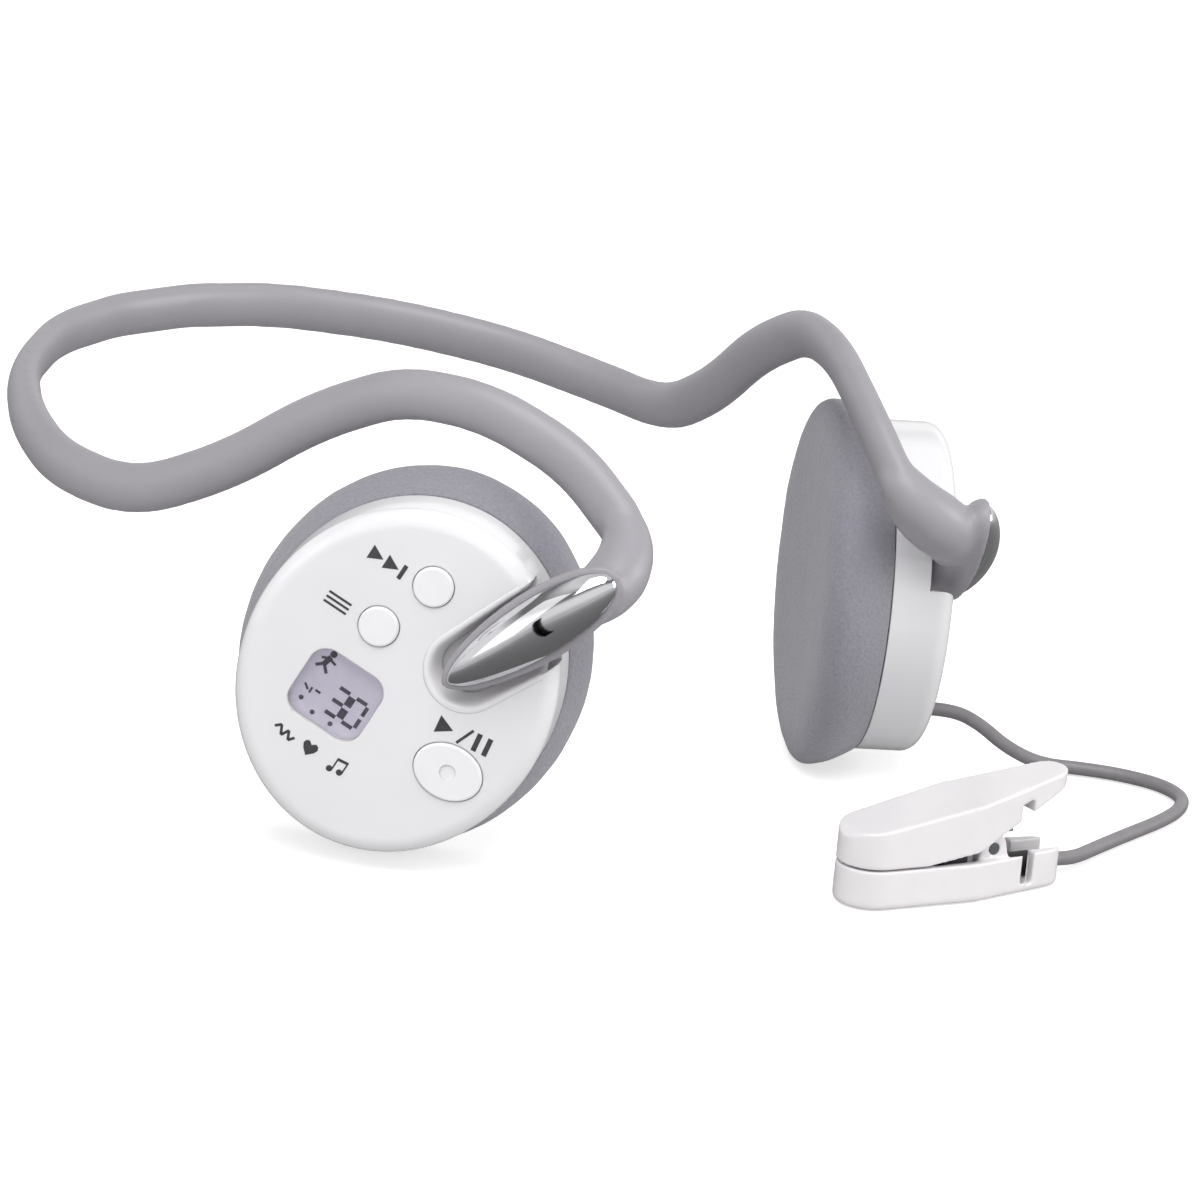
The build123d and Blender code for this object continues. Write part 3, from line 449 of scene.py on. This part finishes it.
# ---- chrome caps --------------------------------------------------------------------------------
# Vacuum-plated ABS leaves, one on each pod: a smooth crowned dome with a soft ridge, pushed into
# the pod so that a narrow grey rim is left round it.

# vacuum-plated chrome: a mirror with a very slight waviness from the moulding under it
chrome, tree, shader = new_material("vacuum_chromed_abs", Metallic=1.0, Roughness=0.07)
mottle(tree, shader, "#CDCDD0", "#D9D9DC", 8.0)
grain(tree, shader, 3.0, 0.02, detail=1.0)
cap_foot = 19.8                          # sunk into the pod
cap_edge = 20.5
cap_rise = 3.8
cap_steps = 25
for side, body in (("right", "right_arm"), ("left", "left_arm")):
    outline = leaf_outline(0, 120)
    rings = [[on_cup(side, *place, cap_foot) for place in outline]]
    middle = sum(outline, Vector((0, 0))) / len(outline)
    for step in range(cap_steps):
        t = step / cap_steps
        level = cap_edge + cap_rise * (1 - (1 - t) ** 2.2) ** 0.75
        ring = []
        for place in outline:
            inner = middle + (place - middle) * (1 - t)
            ring.append(on_cup(side, *inner, level))
        rings.append(ring)
    cap = stack(side + "_chrome_leaf", rings)
    finish_piece(cap, chrome, body, [side + "_pod_cap"])


# ---- ear pads -----------------------------------------------------------------------------------
# Open-cell polyurethane foam pads, moulded in one piece: a full crowned disc towards the ear whose
# soft skirt turns in behind the widest ring and grips the cup.
cup_lean = math.radians(21.0)            # the cups' long axes lean forward at the top


def cup_ellipse(side, short_mm, long_mm, level_mm, count):
    """A ring of places on a cup's leaning ellipse."""
    ring = []
    for angle in ring_turns(count):
        x = short_mm * math.cos(angle)
        y = long_mm * math.sin(angle)
        ring.append(on_cup(side, x * math.cos(cup_lean) + y * math.sin(cup_lean),
                           y * math.cos(cup_lean) - x * math.sin(cup_lean), level_mm))
    return ring


# open-cell foam: quite matt, speckled by its pores, with a faint pale bloom at grazing angles
pore_spacing = 0.55
pore_depth = 0.12
foam, tree, shader = new_material("open_cell_grey_foam", Roughness=0.95, IOR=1.4, Sheen_Weight=0.25,
                                  Sheen_Roughness=0.6)
coords = mottle(tree, shader, "#7A7881", "#98969F", 0.5, detail=4.0)
cells = add_node(tree, "ShaderNodeTexVoronoi", {"Vector": coords.outputs["Object"],
                                                "Scale": 1 / (pore_spacing * MM)})
pores = add_node(tree, "ShaderNodeBump", {"Height": cells.outputs["Distance"], "Strength": 0.8,
                                          "Distance": pore_depth * MM})
tree.links.new(pores.outputs["Normal"], shader.inputs["Normal"])
pad_short = 26.6
pad_long = 30.5
# (share of the pad's size, level): over the crown, round the widest ring and back inside the skirt
pad_profile = [
    (0.02, -1.3), (0.3, -1.5), (0.55, -1.9), (0.75, -2.2), (0.88, -1.95), (0.955, -1.2), (0.99, -0.2),
    (1.0, 0.9), (0.995, 2.4), (0.98, 4.0), (0.955, 5.6), (0.93, 7.0), (0.912, 7.9), (0.9, 8.15),
    (0.885, 7.9), (0.87, 7.0), (0.865, 4.5), (0.862, 2.0), (0.6, 1.55), (0.02, 1.5)]
for side in ("right", "left"):
    rings = [cup_ellipse(side, pad_short * share, pad_long * share, level, 96)
             for share, level in pad_profile]
    pad = stack(side + "_foam_pad", rings)
    smoother = pad.modifiers.new("rounded", "SUBSURF")
    smoother.levels = 2
    smoother.render_levels = 2
    applied(pad)
    normals = [vertex.normal.copy() for vertex in pad.data.vertices]
    for vertex, normal in zip(pad.data.vertices, normals):
        # wide soft lumps with smaller ones on them, a tenth of a millimetre high
        lump = noise.noise(vertex.co / (9 * MM)) * 0.12 + noise.noise(vertex.co / (2.5 * MM)) * 0.05
        vertex.co += normal * (lump - 0.05) * MM
    finish_piece(pad, foam, side + "_cup", [side + "_ear_pad"])


# ---- outer shells -------------------------------------------------------------------------------
# High-gloss white ABS half shells with a rounded rim, moulded with a dished recess round the pod.
# The dish is a thin skin of its own laid into the shell's straight-walled slot.

# glossy moulded ABS: a clean cool white whose highlights waver a little where the mould shrank
gloss_white, tree, shader = new_material("moulded_white_abs_gloss", Roughness=0.16, IOR=1.53, Coat_Weight=0.3)
mottle(tree, shader, "#E1E0E2", "#E7E6E8", 12.0)
grain(tree, shader, 4.0, 0.01, detail=1.0)
soft_edges(tree, shader, 0.35)
paint(gloss_white, "right_outer_shell", "left_outer_shell")

housing_short = 24.0
housing_long = 27.4
rim_round = 2.6
recess_tip = Vector((10.6, 3.6))
recess_end = recess_tip + (Vector((28.6, 17.8)) - recess_tip) * 1.6   # well past the housing's rim
recess_tip_radius = 5.8
recess_end_radius = 7.2
recess_floor = 14.4
recess_along = (recess_end - recess_tip).normalized()
recess_across = Vector((-recess_along.y, recess_along.x))
outline_steps = 24


def recess_outline(grow_mm):
    """The slot's outline on the face: in from the rim, round its tip and out to the rim again."""
    tip_radius = recess_tip_radius + grow_mm
    end_radius = recess_end_radius + grow_mm
    side_places = []
    for i in range(outline_steps + 1):
        share = i / outline_steps
        half = tip_radius + (end_radius - tip_radius) * share
        side_places.append((recess_tip.lerp(recess_end, share), recess_across * half))
    places = [place + half for place, half in reversed(side_places)]
    for i in range(1, outline_steps):
        angle = math.pi * i / outline_steps
        places.append(recess_tip + recess_across * tip_radius * math.cos(angle)
                      - recess_along * tip_radius * math.sin(angle))
    return places + [place - half for place, half in side_places]


def depth_in_rim(place):
    """About how far a place on the face lies inside the housing's rim, in millimetres."""
    x = place.x * math.cos(cup_lean) - place.y * math.sin(cup_lean)
    y = place.x * math.sin(cup_lean) + place.y * math.cos(cup_lean)
    return (1 - math.hypot(x / housing_short, y / housing_long)) * 25.0


# (share of the dish's width inwards, level): a low lip on the face, then the slope down the slot
dish_profile = [(-0.9, 18.15), (-0.55, 18.28), (-0.15, 18.32), (0.15, 18.2), (0.4, 17.6), (0.65, 16.7),
                (0.85, 15.7), (1.0, 14.7), (1.0, 14.2)]
dish_width = 1.6
dish_run = 0.62                          # the slope has run out at this share of the slot's length
dish_thick = 0.12
for side in ("right", "left"):
    edge = recess_outline(0)
    beyond = recess_outline(1)
    span = (recess_end - recess_tip).length
    loops = []
    for share, level in dish_profile:
        loop = []
        for place, out in zip(edge, beyond):
            along = min(max((place - recess_tip).dot(recess_along) / span, 0), 1)
            width = max(0.1, dish_width * (1 - along / dish_run)) if share > 0 else 1.0
            loop.append(place - (out - place) * share * width)
        loops.append((loop, level))
    depths = [depth_in_rim(place) for place in loops[0][0]]
    kept = [i for i in range(len(depths)) if depths[i] > 0.35]
    verts = []
    for loop, level in loops:
        for i in kept:
            # near the rim the dish follows the rounding down
            short_of = max(rim_round - depths[i], 0.0)
            drop = rim_round - math.sqrt(rim_round ** 2 - short_of ** 2)
            verts.append(on_cup(side, *loop[i], max(level - drop, recess_floor)))
    wide = len(kept)
    faces = [(row * wide + i, row * wide + i + 1, (row + 1) * wide + i + 1, (row + 1) * wide + i)
             for row in range(len(dish_profile) - 1) for i in range(wide - 1)]
    dish = mesh_piece(side + "_recess_dish", verts, faces)
    walls = dish.modifiers.new("walls", "SOLIDIFY")
    walls.thickness = dish_thick * MM
    applied(dish)
    finish_piece(dish, gloss_white, side + "_cup")


# ---- buttons ------------------------------------------------------------------------------------
# Three white ABS keys that stand half a millimetre out of the right shell, each on a small switch.

# moulded ABS, a little less glossy than the shell and a shade whiter, so the keys stand out
key_white, tree, shader = new_material("moulded_white_abs_key", Roughness=0.24, IOR=1.52, Coat_Weight=0.2)
mottle(tree, shader, "#E9E8EB", "#EEEDF0", 5.0)
grain(tree, shader, 2.0, 0.01)
soft_edges(tree, shader, 0.3)
paint(key_white, "next_button", "set_button", "play_button")


# ---- display ------------------------------------------------------------------------------------
# A small reflective liquid-crystal panel under a clear acrylic window glued into the shell: pale
# violet-grey ground with dark numerals, a walking figure and dots.

# cast acrylic: clear, with a plain gloss
window_clear, tree, shader = new_material("cast_clear_acrylic", Roughness=0.05, IOR=1.49,
                                          Transmission_Weight=1.0)
mottle(tree, shader, "#F7F5FA", "#FFFFFF", 5.0)
grain(tree, shader, 5.0, 0.01, detail=1.0)
paint(window_clear, "display_window")

# the panel's reflector: pale violet, with a painted glow (a weak emission, no lamp) so that it never goes
# dark in its well
lcd_ground_painted_glow, tree, shader = new_material("reflective_lcd_ground_painted_glow", Roughness=0.35, IOR=1.5,
                                        Emission_Color=linear("#CBC6D6"), Emission_Strength=0.35)
mottle(tree, shader, "#DDD9E4", "#E8E5EE", 3.0)
grain(tree, shader, 0.4, 0.006)
paint(lcd_ground_painted_glow, "lcd_panel")


def flat_marks(name, outlines, side, level_mm, thickness_mm):
    """Thin raised marks on a cup from closed outlines of (forward, up) places."""
    verts = []
    faces = []
    for outline in outlines:
        start = len(verts)
        count = len(outline)
        verts += [on_cup(side, *place, level_mm) for place in outline]
        verts += [on_cup(side, *place, level_mm + thickness_mm) for place in outline]
        faces += [tuple(range(start, start + count)), tuple(range(start + count, start + 2 * count))]
        faces += [(start + i, start + (i + 1) % count, start + count + (i + 1) % count, start + count + i)
                  for i in range(count)]
    return mesh_piece(name, verts, faces, smooth=False)


def turned(outline, centre, turn_degrees, scale=1.0):
    """An outline in its own axes, scaled, turned and moved to a place on the face."""
    c = math.cos(math.radians(turn_degrees)) * scale
    s = math.sin(math.radians(turn_degrees)) * scale
    return [(centre[0] + x * c - y * s, centre[1] + x * s + y * c) for x, y in outline]


def bar(x0, y0, x1, y1, width):
    """A straight stroke as a four-cornered outline."""
    run = Vector((x1 - x0, y1 - y0))
    across = Vector((-run.y, run.x)).normalized() * width / 2
    return [(x0 + across.x, y0 + across.y), (x1 + across.x, y1 + across.y),
            (x1 - across.x, y1 - across.y), (x0 - across.x, y0 - across.y)]


def disc(x, y, radius, count=20):
    """A round dot's outline."""
    return [(x + radius * math.cos(angle), y + radius * math.sin(angle)) for angle in ring_turns(count)]


def numeral(segments, x, y):
    """Bars of one seven-segment numeral, 2.4 by 4.4 mm, lower left corner at x, y."""
    places = {"a": (0.3, 4.4, 2.1, 4.4), "b": (2.4, 4.1, 2.4, 2.5), "c": (2.4, 1.9, 2.4, 0.3),
              "d": (0.3, 0.0, 2.1, 0.0), "e": (0.0, 1.9, 0.0, 0.3), "f": (0.0, 4.1, 0.0, 2.5),
              "g": (0.3, 2.2, 2.1, 2.2)}
    strokes = [places[segment] for segment in segments]
    return [bar(x + x0, y + y0, x + x1, y + y1, 0.62) for x0, y0, x1, y1 in strokes]


window_at = (-8.7, -2.9)
face_turn = -27.0                        # what is written on the face runs downhill towards the rim
panel_level = 15.65
three_and_nought = numeral("abgcd", -0.4, -3.6) + numeral("abcdef", 2.6, -3.6)
dots = [disc(-4.2, -3.9, 0.38), disc(-1.6, -4.9, 0.38), disc(1.6, -4.9, 0.38)]
figure = [disc(-3.6, 4.6, 0.55), bar(-3.7, 4.0, -4.1, 2.4, 0.85), bar(-3.9, 3.7, -2.5, 3.3, 0.4),
          bar(-4.1, 2.6, -3.0, 1.4, 0.5), bar(-4.1, 2.6, -5.1, 1.7, 0.5), bar(-3.9, 3.7, -4.9, 3.2, 0.4)]
ticks = [bar(-4.9, -1.6, -4.0, -2.3, 0.35), bar(-3.6, -1.6, -3.6, -2.6, 0.35),
         bar(-3.0, -1.7, -2.1, -1.7, 0.35)]
panel_marks = [turned(o, window_at, face_turn) for o in three_and_nought + dots + figure + ticks]
digits = flat_marks("display_numerals", panel_marks, "right", panel_level, 0.04)
# a switched-on segment: dark violet-grey, not quite black
lcd_dark, tree, shader = new_material("liquid_crystal_segment", Roughness=0.4, IOR=1.5)
mottle(tree, shader, "#5F5C6A", "#74707F", 1.2)
grain(tree, shader, 0.3, 0.004)
finish_piece(digits, lcd_dark, "right_cup")


# ---- printed marks ------------------------------------------------------------------------------
# Pad-printed ink on the right face: a generic symbol beside each key (skip, list, play and pause)
# and three mode icons under the display (wave, heart, note).

# ink: dark grey and nearly matt, a little uneven where the pad left less
print_ink, tree, shader = new_material("pad_printed_dark_ink", Roughness=0.45, IOR=1.5)
mottle(tree, shader, "#343436", "#4A4A4D", 0.8)
grain(tree, shader, 0.3, 0.006)
next_symbol = [[(-2.6, -0.9), (-0.9, 0.0), (-2.6, 0.9)], [(-0.6, -0.9), (1.1, 0.0), (-0.6, 0.9)],
               bar(1.6, -0.9, 1.6, 0.9, 0.5)]
set_symbol = [bar(-1.8, y, 1.8, y, 0.34) for y in (0.75, 0.0, -0.75)]
play_symbol = [[(-2.8, -1.0), (-1.0, 0.0), (-2.8, 1.0)], bar(-0.2, -1.0, 0.9, 1.0, 0.3),
               bar(1.7, -1.0, 1.7, 1.0, 0.55), bar(2.9, -1.0, 2.9, 1.0, 0.55)]
wave_bends = [(-1.7, 0.1), (-0.9, 0.9), (-0.2, -0.6), (0.5, 0.7), (1.1, -0.7), (1.8, 0.2)]
wave = [bar(*a, *b, 0.42) for a, b in zip(wave_bends, wave_bends[1:])]
heart = [(0.0, -1.3), (0.9, -0.4), (1.25, 0.3), (1.05, 0.85), (0.55, 1.05), (0.0, 0.6), (-0.55, 1.05),
         (-1.05, 0.85), (-1.25, 0.3), (-0.9, -0.4)]
note = [disc(-0.7, -0.8, 0.5), disc(0.9, -0.5, 0.5), bar(-0.3, -0.8, -0.3, 1.2, 0.26),
        bar(1.3, -0.5, 1.3, 1.4, 0.26), bar(-0.4, 1.15, 1.42, 1.4, 0.45)]
marks = []
for outlines, place, turn, scale in (
        (next_symbol, (-2.2, 18.5), face_turn, 1.35), (set_symbol, (-9.6, 11.5), face_turn, 1.1),
        (play_symbol, (10.9, -6.3), -19.0, 1.45), (wave, (-16.0, -9.7), face_turn, 1.0),
        ([heart], (-11.9, -11.6), face_turn, 1.0), (note, (-7.7, -13.9), face_turn, 1.0)):
    marks += [turned(outline, place, turn, scale) for outline in outlines]
face_level = 18.18
printed = flat_marks("printed_symbols", marks, "right", face_level, 0.05)
finish_piece(printed, print_ink, "right_cup")


# ---- inside the cups ----------------------------------------------------------------------------
# The speakers, the boards and what holds them: moulded, stamped and wound parts, snapped, glued
# and screwed into the cups, that show only when a cup is opened.
def inner_material(name, low, high, spot_mm, bump_mm, *nodes, **constants):
    """A plain working finish for parts inside the cups."""
    material, tree, shader = new_material(name, **constants)
    mottle(tree, shader, low, high, spot_mm)
    grain(tree, shader, spot_mm / 4, bump_mm)
    paint(material, *nodes)


def both(part):
    """The names of the right and the left cup's node of a kind."""
    return "right_" + part, "left_" + part


# unpainted ABS: a mid grey with a dull sheen
inner_material("moulded_grey_abs_inner", "#8E8B92", "#99969D", 6.0, 0.01, *both("baffle"), Roughness=0.5)
# black paint over punched steel: dark, with a soft metal glint
inner_material("black_painted_perforated_steel", "#1B1B1D", "#242427", 2.0, 0.01, *both("driver_grille"),
               Roughness=0.4, Metallic=0.6)
# glass-filled nylon: black and slightly rough
inner_material("black_nylon_basket", "#1E1E20", "#29292C", 3.0, 0.02, *both("driver_frame"), Roughness=0.55)
# zinc plate over stamped steel: pale grey metal, half polished
inner_material("zinc_plated_steel_stamped", "#A4A7AB", "#B9BCC0", 3.0, 0.01, *both("driver_yoke"),
               *both("shell_screws"), *both("pivot_washer"), *both("pivot_screw"), Roughness=0.3,
               Metallic=1.0)
# nickel plate over a ground magnet: brighter and smoother than the zinc
inner_material("nickel_plated_neodymium", "#BDBDC0", "#CACACD", 4.0, 0.005, *both("driver_magnet"),
               Roughness=0.18, Metallic=1.0)
# enamelled copper wire: reddish brown with a ribbed glint
inner_material("enamelled_copper_winding", "#9C5528", "#B4672F", 0.5, 0.03, *both("voice_coil"),
               Roughness=0.35, Metallic=0.9)
# pressed polyester film: a thin cool grey with a sharp gloss
inner_material("clear_polyester_film", "#B9BEC6", "#C9CED5", 3.0, 0.004, *both("diaphragm"), Roughness=0.12)
# a moulded diffuser: plain milky white
inner_material("white_light_diffuser", "#E8E8E8", "#F0F0F0", 4.0, 0.01, "lcd_backlight", Roughness=0.6)
# solder mask over fibreglass: deep green and fairly glossy
inner_material("green_solder_mask_board", "#1D5A35", "#256B41", 5.0, 0.01, "main_board", "sensor_board",
               Roughness=0.35)
# moulded epoxy: the dull black of chip packages and switch bodies
inner_material("black_epoxy_chip", "#191919", "#232323", 1.5, 0.01, "audio_chip", "memory_chip",
               "sensor_chip", "tact_switches", Roughness=0.5)
# tin plate over folded steel: light grey, softly reflecting
inner_material("tinned_steel_socket", "#B4B6B8", "#C6C8CA", 2.0, 0.01, "usb_socket", Roughness=0.3,
               Metallic=1.0)
# laminated aluminium pouch: a crinkled satin silver
inner_material("aluminised_battery_foil", "#A9ABAE", "#C2C4C7", 3.0, 0.05, "battery", Roughness=0.35,
               Metallic=0.8)


# ---- studio -------------------------------------------------------------------------------------
# A sheet of white paper for floor and background, one large soft light above, gentle fill from
# each side and a small black card that gives the chrome its dark crease.
half_floor = 3.0
paper_glow = 0.62
floor = mesh_piece("studio_floor", [(-half_floor, -half_floor, 0), (half_floor, -half_floor, 0),
                                    (half_floor, half_floor, 0), (-half_floor, half_floor, 0)],
                   [(0, 1, 2, 3)], smooth=False)
floor.location.z = -0.2 * MM
# paper: flat white; its glow is for the view and, growing with distance, for mirror reflections
paper, tree, shader = new_material("white_paper_floor", Roughness=0.9, Emission_Color=linear("#FFFFFF"),
                                   Specular_IOR_Level=0.0)
mottle(tree, shader, "#D8D8D8", "#DEDEDE", 400.0)
path = add_node(tree, "ShaderNodeLightPath")
where = add_node(tree, "ShaderNodeTexCoord")
reach = add_node(tree, "ShaderNodeVectorMath", {0: where.outputs["Object"]}, operation="LENGTH")
far_off = add_node(tree, "ShaderNodeMapRange", {"Value": reach.outputs["Value"], "From Min": 0.08,
                                                "From Max": 0.6, "To Min": 0.16, "To Max": paper_glow})
mirrored = add_node(tree, "ShaderNodeMath", {0: far_off.outputs["Result"], 1: path.outputs["Is Glossy Ray"]},
                    operation="MULTIPLY")
plain = add_node(tree, "ShaderNodeMath", {0: path.outputs["Is Camera Ray"], 1: paper_glow},
                 operation="MULTIPLY")
glow = add_node(tree, "ShaderNodeMath", {0: mirrored.outputs[0], 1: plain.outputs[0]}, operation="ADD")
tree.links.new(glow.outputs[0], shader.inputs["Emission Strength"])
pale = shader.inputs["Base Color"].links[0].from_socket
black = add_node(tree, "ShaderNodeMix", {"Factor": path.outputs["Is Glossy Ray"]}, data_type="RGBA")
tree.links.new(pale, black.inputs[6])
black.inputs[7].default_value = linear("#000000")
tree.links.new(black.outputs[2], shader.inputs["Base Color"])
floor.data.materials.append(paper)

# the view sees plain white and matt surfaces a weaker white; mirrors see a bright band low down, a
# dark one above it and pale again overhead
world = bpy.data.worlds.new("studio_white")
bpy.context.scene.world = world
world.use_nodes = True
tree = world.node_tree
tree.nodes.clear()
path = add_node(tree, "ShaderNodeLightPath")
seen = add_node(tree, "ShaderNodeBackground", {"Color": linear("#FFFFFF"), "Strength": 1.0})
fill = add_node(tree, "ShaderNodeBackground", {"Color": linear("#FFFFFF"), "Strength": 0.5})
surroundings = add_node(tree, "ShaderNodeMixShader", {"Fac": path.outputs["Is Camera Ray"]})
tree.links.new(fill.outputs["Background"], surroundings.inputs[1])
tree.links.new(seen.outputs["Background"], surroundings.inputs[2])
way = add_node(tree, "ShaderNodeTexCoord")
split = add_node(tree, "ShaderNodeSeparateXYZ", {"Vector": way.outputs["Generated"]})
shade = add_node(tree, "ShaderNodeValToRGB", {"Fac": split.outputs["Z"]})
stops = shade.color_ramp.elements
stops[0].position = 0.0
stops[0].color = linear("#CECED1")
stops[1].position = 0.95
stops[1].color = linear("#E1E1E2")
for position, grey in ((0.16, "#FFFFFF"), (0.42, "#FFFFFF"), (0.56, "#7C7C7C"), (0.66, "#898989"),
                       (0.8, "#F3F3F3")):
    stops.new(position).color = linear(grey)
mirrored = add_node(tree, "ShaderNodeBackground", {"Color": shade.outputs["Color"], "Strength": 1.0})
glossy = add_node(tree, "ShaderNodeMixShader", {"Fac": path.outputs["Is Glossy Ray"]})
tree.links.new(surroundings.outputs["Shader"], glossy.inputs[1])
tree.links.new(mirrored.outputs["Background"], glossy.inputs[2])
add_node(tree, "ShaderNodeOutputWorld", {"Surface": glossy.outputs["Shader"]})


def area_light(name, place, aim, size, watts):
    """A square soft light at a place, facing a point."""
    lamp = bpy.data.objects.new(name, bpy.data.lights.new(name, "AREA"))
    bpy.context.collection.objects.link(lamp)
    lamp.data.shape = "SQUARE"
    lamp.data.size = size
    lamp.data.energy = watts
    lamp.location = place
    lamp.rotation_euler = (Vector(aim) - Vector(place)).to_track_quat("-Z", "Y").to_euler()
    return lamp


lights_aim = (0, 0, 0.035)
lights = [
    area_light("key_light", (-0.35, -0.35, 0.75), lights_aim, 0.6, 5.4),
    area_light("left_fill", (-0.8, 0.2, 0.45), lights_aim, 0.6, 1.0),
    area_light("right_fill", (0.6, -0.75, 0.35), lights_aim, 0.5, 4.0),
]

# the card stands just off the right cap, where the cap mirrors it towards the camera
card_off = 0.050
card_half_wide = 0.0028
card_half_long = 0.035
crown_level = 23.0
crown_tilt = 0.07                        # how far the crown's middle leans up the leaf
cup_forward, cup_up, cup_outward = cup_frame("right")[1:]
leaf_middle = on_cup("right", *((leaf_tip + leaf_top) / 2), crown_level)
leaf_run = (leaf_top - leaf_tip).normalized()
leaf_way = cup_forward * leaf_run.x + cup_up * leaf_run.y
card_way = cup_up * leaf_run.x - cup_forward * leaf_run.y
cap_facing = (cup_outward + leaf_way * crown_tilt).normalized()
mirrored_way = (-toward + cap_facing * 2 * toward.dot(cap_facing)).normalized()
card_middle = leaf_middle + mirrored_way * card_off
card_side = card_way.cross(mirrored_way).normalized() * card_half_wide
card_long = card_way * card_half_long
flag = mesh_piece("studio_flag", [card_middle + card_side + card_long, card_middle - card_side + card_long,
                                  card_middle - card_side - card_long, card_middle + card_side - card_long],
                  [(0, 1, 2, 3)], smooth=False)
# felt: as near to no light as a surface gets
black_felt, tree, shader = new_material("black_felt_flag", Roughness=1.0, Specular_IOR_Level=0.0)
mottle(tree, shader, "#050505", "#0A0A0A", 20.0)
flag.data.materials.append(black_felt)
flag.visible_camera = False
flag.visible_diffuse = False
flag.visible_shadow = False
flag.visible_transmission = False
